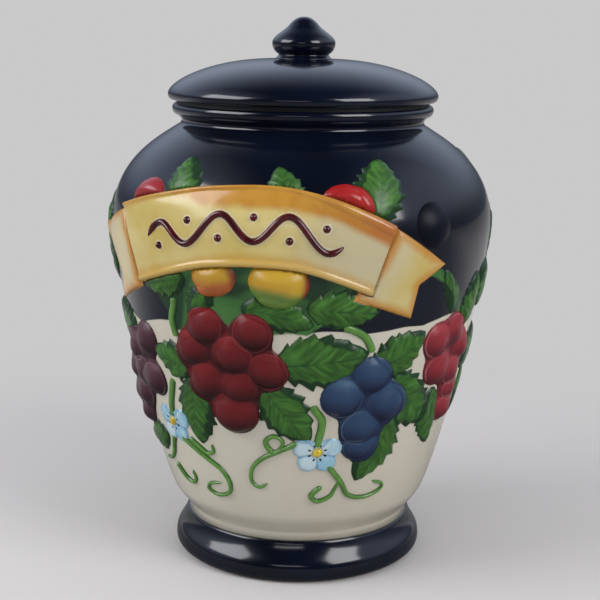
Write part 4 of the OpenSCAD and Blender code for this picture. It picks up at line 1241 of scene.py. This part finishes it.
def make_knob():
    collar_top, neck_top = KNOB_NECK_R + 0.4, KNOB_NECK_R + 0.2
    groove = KNOB_COLLAR_H + 1.0
    height = knob_top_z - knob_seat_z
    # Each curve goes on from the end of the one before it: two handles, end point, steps
    curves = [
        ([KNOB_COLLAR_R - 0.4, KNOB_COLLAR_H * 0.5], [collar_top + 0.3, KNOB_COLLAR_H * 0.6],
         [collar_top, KNOB_COLLAR_H], 10),
        ([KNOB_NECK_R - 0.1, KNOB_COLLAR_H + 0.4], [KNOB_NECK_R - 0.1, groove - 0.3],
         [neck_top, groove], 6),
        ([KNOB_NECK_R + 1.8, groove + 1], [knob_r, KNOB_BULGE_H - 3], [knob_r, KNOB_BULGE_H], 14),
        ([knob_r, KNOB_BULGE_H + 3.4], [knob_r * 0.62, KNOB_BULGE_H + 6.2],
         [knob_r * 0.5, height - 4.8], 18),
        ([knob_r * 0.39, height - 2.8], [knob_r * 0.27, height], [0, height], 12),
    ]
    shape = [np.array([[0, 0], [KNOB_COLLAR_R, 0]])]
    for first, second, end, steps in curves:
        shape.append(cubic(shape[-1][-1], first, second, end, steps)[1:])
    shape = np.vstack(shape) + [0, knob_seat_z]
    thrown("lid_knob", shape, "lid", "navy_glaze", steps=128)


make_body()
make_foot()
make_lid()
make_knob()
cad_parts["seal_ring"].data.materials.clear()
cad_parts["seal_ring"].data.materials.append(materials["seal_rubber"])


# ---- Camera ----

CAMERA_AT = Vector((-0.0002, -0.703, belly_z * MM + 0.102))
CAMERA_PITCH = math.radians(11.8)
CAMERA_ROLL = math.radians(0.774)
SENSOR = 36.0
# Focal length in pixels of the 600 pixel frame
FOCAL_PIXELS = 1339.0
FRAME_PIXELS = 600.0

camera = bpy.data.cameras.new("camera")
camera.sensor_width = SENSOR
camera.lens = FOCAL_PIXELS / FRAME_PIXELS * SENSOR
camera_object = bpy.data.objects.new("camera", camera)
turn = Matrix.Rotation(math.pi / 2 - CAMERA_PITCH, 4, "X") @ Matrix.Rotation(CAMERA_ROLL, 4, "Z")
camera_object.matrix_world = Matrix.Translation(CAMERA_AT) @ turn
bpy.context.scene.collection.objects.link(camera_object)
bpy.context.scene.camera = camera_object

# ---- Studio ----

BACKDROP, AMBIENT = "cac9ca", "b4b4b6"
FLOOR, FLOOR_MIRRORED = "cbc9ca", "757679"
FLOOR_HALF, FLOOR_DROP = 4.0, 0.2
# How much red, green and blue the mirrored walls give
MIRRORED_TINT = (0.88, 1.0, 1.26)
LAMP_AIM = Vector((0, 0, 0.16))
# Lamps: name, place, size, power, whether the glaze mirrors it, whether it lights
LAMPS = [
    ["left_box", (-1.15, -0.36, 0.88), (0.98, 0.75), 12, True, True],
    ["right_box", (0.88, -0.82, 0.88), (0.68, 0.75), 10.5, True, True],
    ["overhead", (0, -0.1, 1.9), (1.8, 1.4), 6, False, True],
    ["front_low", (-0.22, -1.55, 0.55), (0.75, 0.12), 0.8, True, False],
]


def make_floor():
    """A pale floor that takes the shadow near the jar and melts into the backdrop."""
    half = FLOOR_HALF / MM
    points = [[x, y, -FLOOR_DROP]
              for x, y in ((-half, -half), (half, -half), (half, half), (-half, half))]
    obj = new_object("floor", points, [[0, 1, 2, 3]])
    g = Glaze("floor")
    # In front of the jar the glaze mirrors a darker table than the camera sees
    table = g.blend(g.part(g.place(), "Y"), -0.05, 0.35, FLOOR_MIRRORED, FLOOR)
    g.set({"Base Color": g.mix(g.ray("Is Glossy Ray"), FLOOR, table),
           "Roughness": 0.8, "Specular IOR Level": 0.2})
    far = g.node("VectorMath", {0: g.place()}, "Value", operation="LENGTH")
    both = g.node("MixShader", {
        0: g.step(far, 0.2, 0.5) * g.ray("Is Camera Ray"), 1: Value(g, g.shader.outputs[0]),
        2: g.node("Emission", {"Color": BACKDROP, "Strength": 1.0})})
    g.put(g.nodes["Material Output"].inputs["Surface"], both)
    obj.data.materials.append(g.material)


def make_lamp(name, at, size, power, mirrored, lights):
    data = bpy.data.lights.new(name, "AREA")
    data.shape = "RECTANGLE"
    data.size, data.size_y = size
    data.energy = power
    obj = bpy.data.objects.new(name, data)
    obj.location = at
    obj.rotation_euler = (LAMP_AIM - Vector(at)).to_track_quat("-Z", "Y").to_euler()
    obj.visible_glossy, obj.visible_diffuse = mirrored, lights
    bpy.context.scene.collection.objects.link(obj)


def make_world():
    world = bpy.data.worlds.new("studio")
    bpy.context.scene.world = world
    world.use_nodes = True
    g = Nodes(world.node_tree)
    # What the glaze mirrors: pale walls at both sides and behind, and a dark room otherwise
    x, y, z = (g.part(g.place("Generated"), axis) for axis in "XYZ")
    beside = g.step(abs(x), 0.25, 0.8) * g.step(y, -0.85, -0.2)
    behind = g.step(y, -0.1, 0.6) * g.below(z, 0.45, 1.1)
    raised = g.maths("MULTIPLY_ADD", g.step(z, 0.0, 0.42), 0.84, 0.16)
    walls = g.maths("MAXIMUM", beside, behind) * raised
    walls = g.maths("MULTIPLY_ADD", walls, 0.68, 0.012)
    walls = g.node("CombineColor", {k: walls * tint for k, tint in enumerate(MIRRORED_TINT)})
    level = g.mix(g.ray("Is Glossy Ray"), AMBIENT, walls)
    level = g.mix(g.ray("Is Camera Ray"), level, BACKDROP)
    g.put(g.nodes["Background"].inputs["Color"], level)


make_floor()
for row in LAMPS:
    make_lamp(*row)
make_world()
bpy.context.scene.view_settings.view_transform = "Standard"
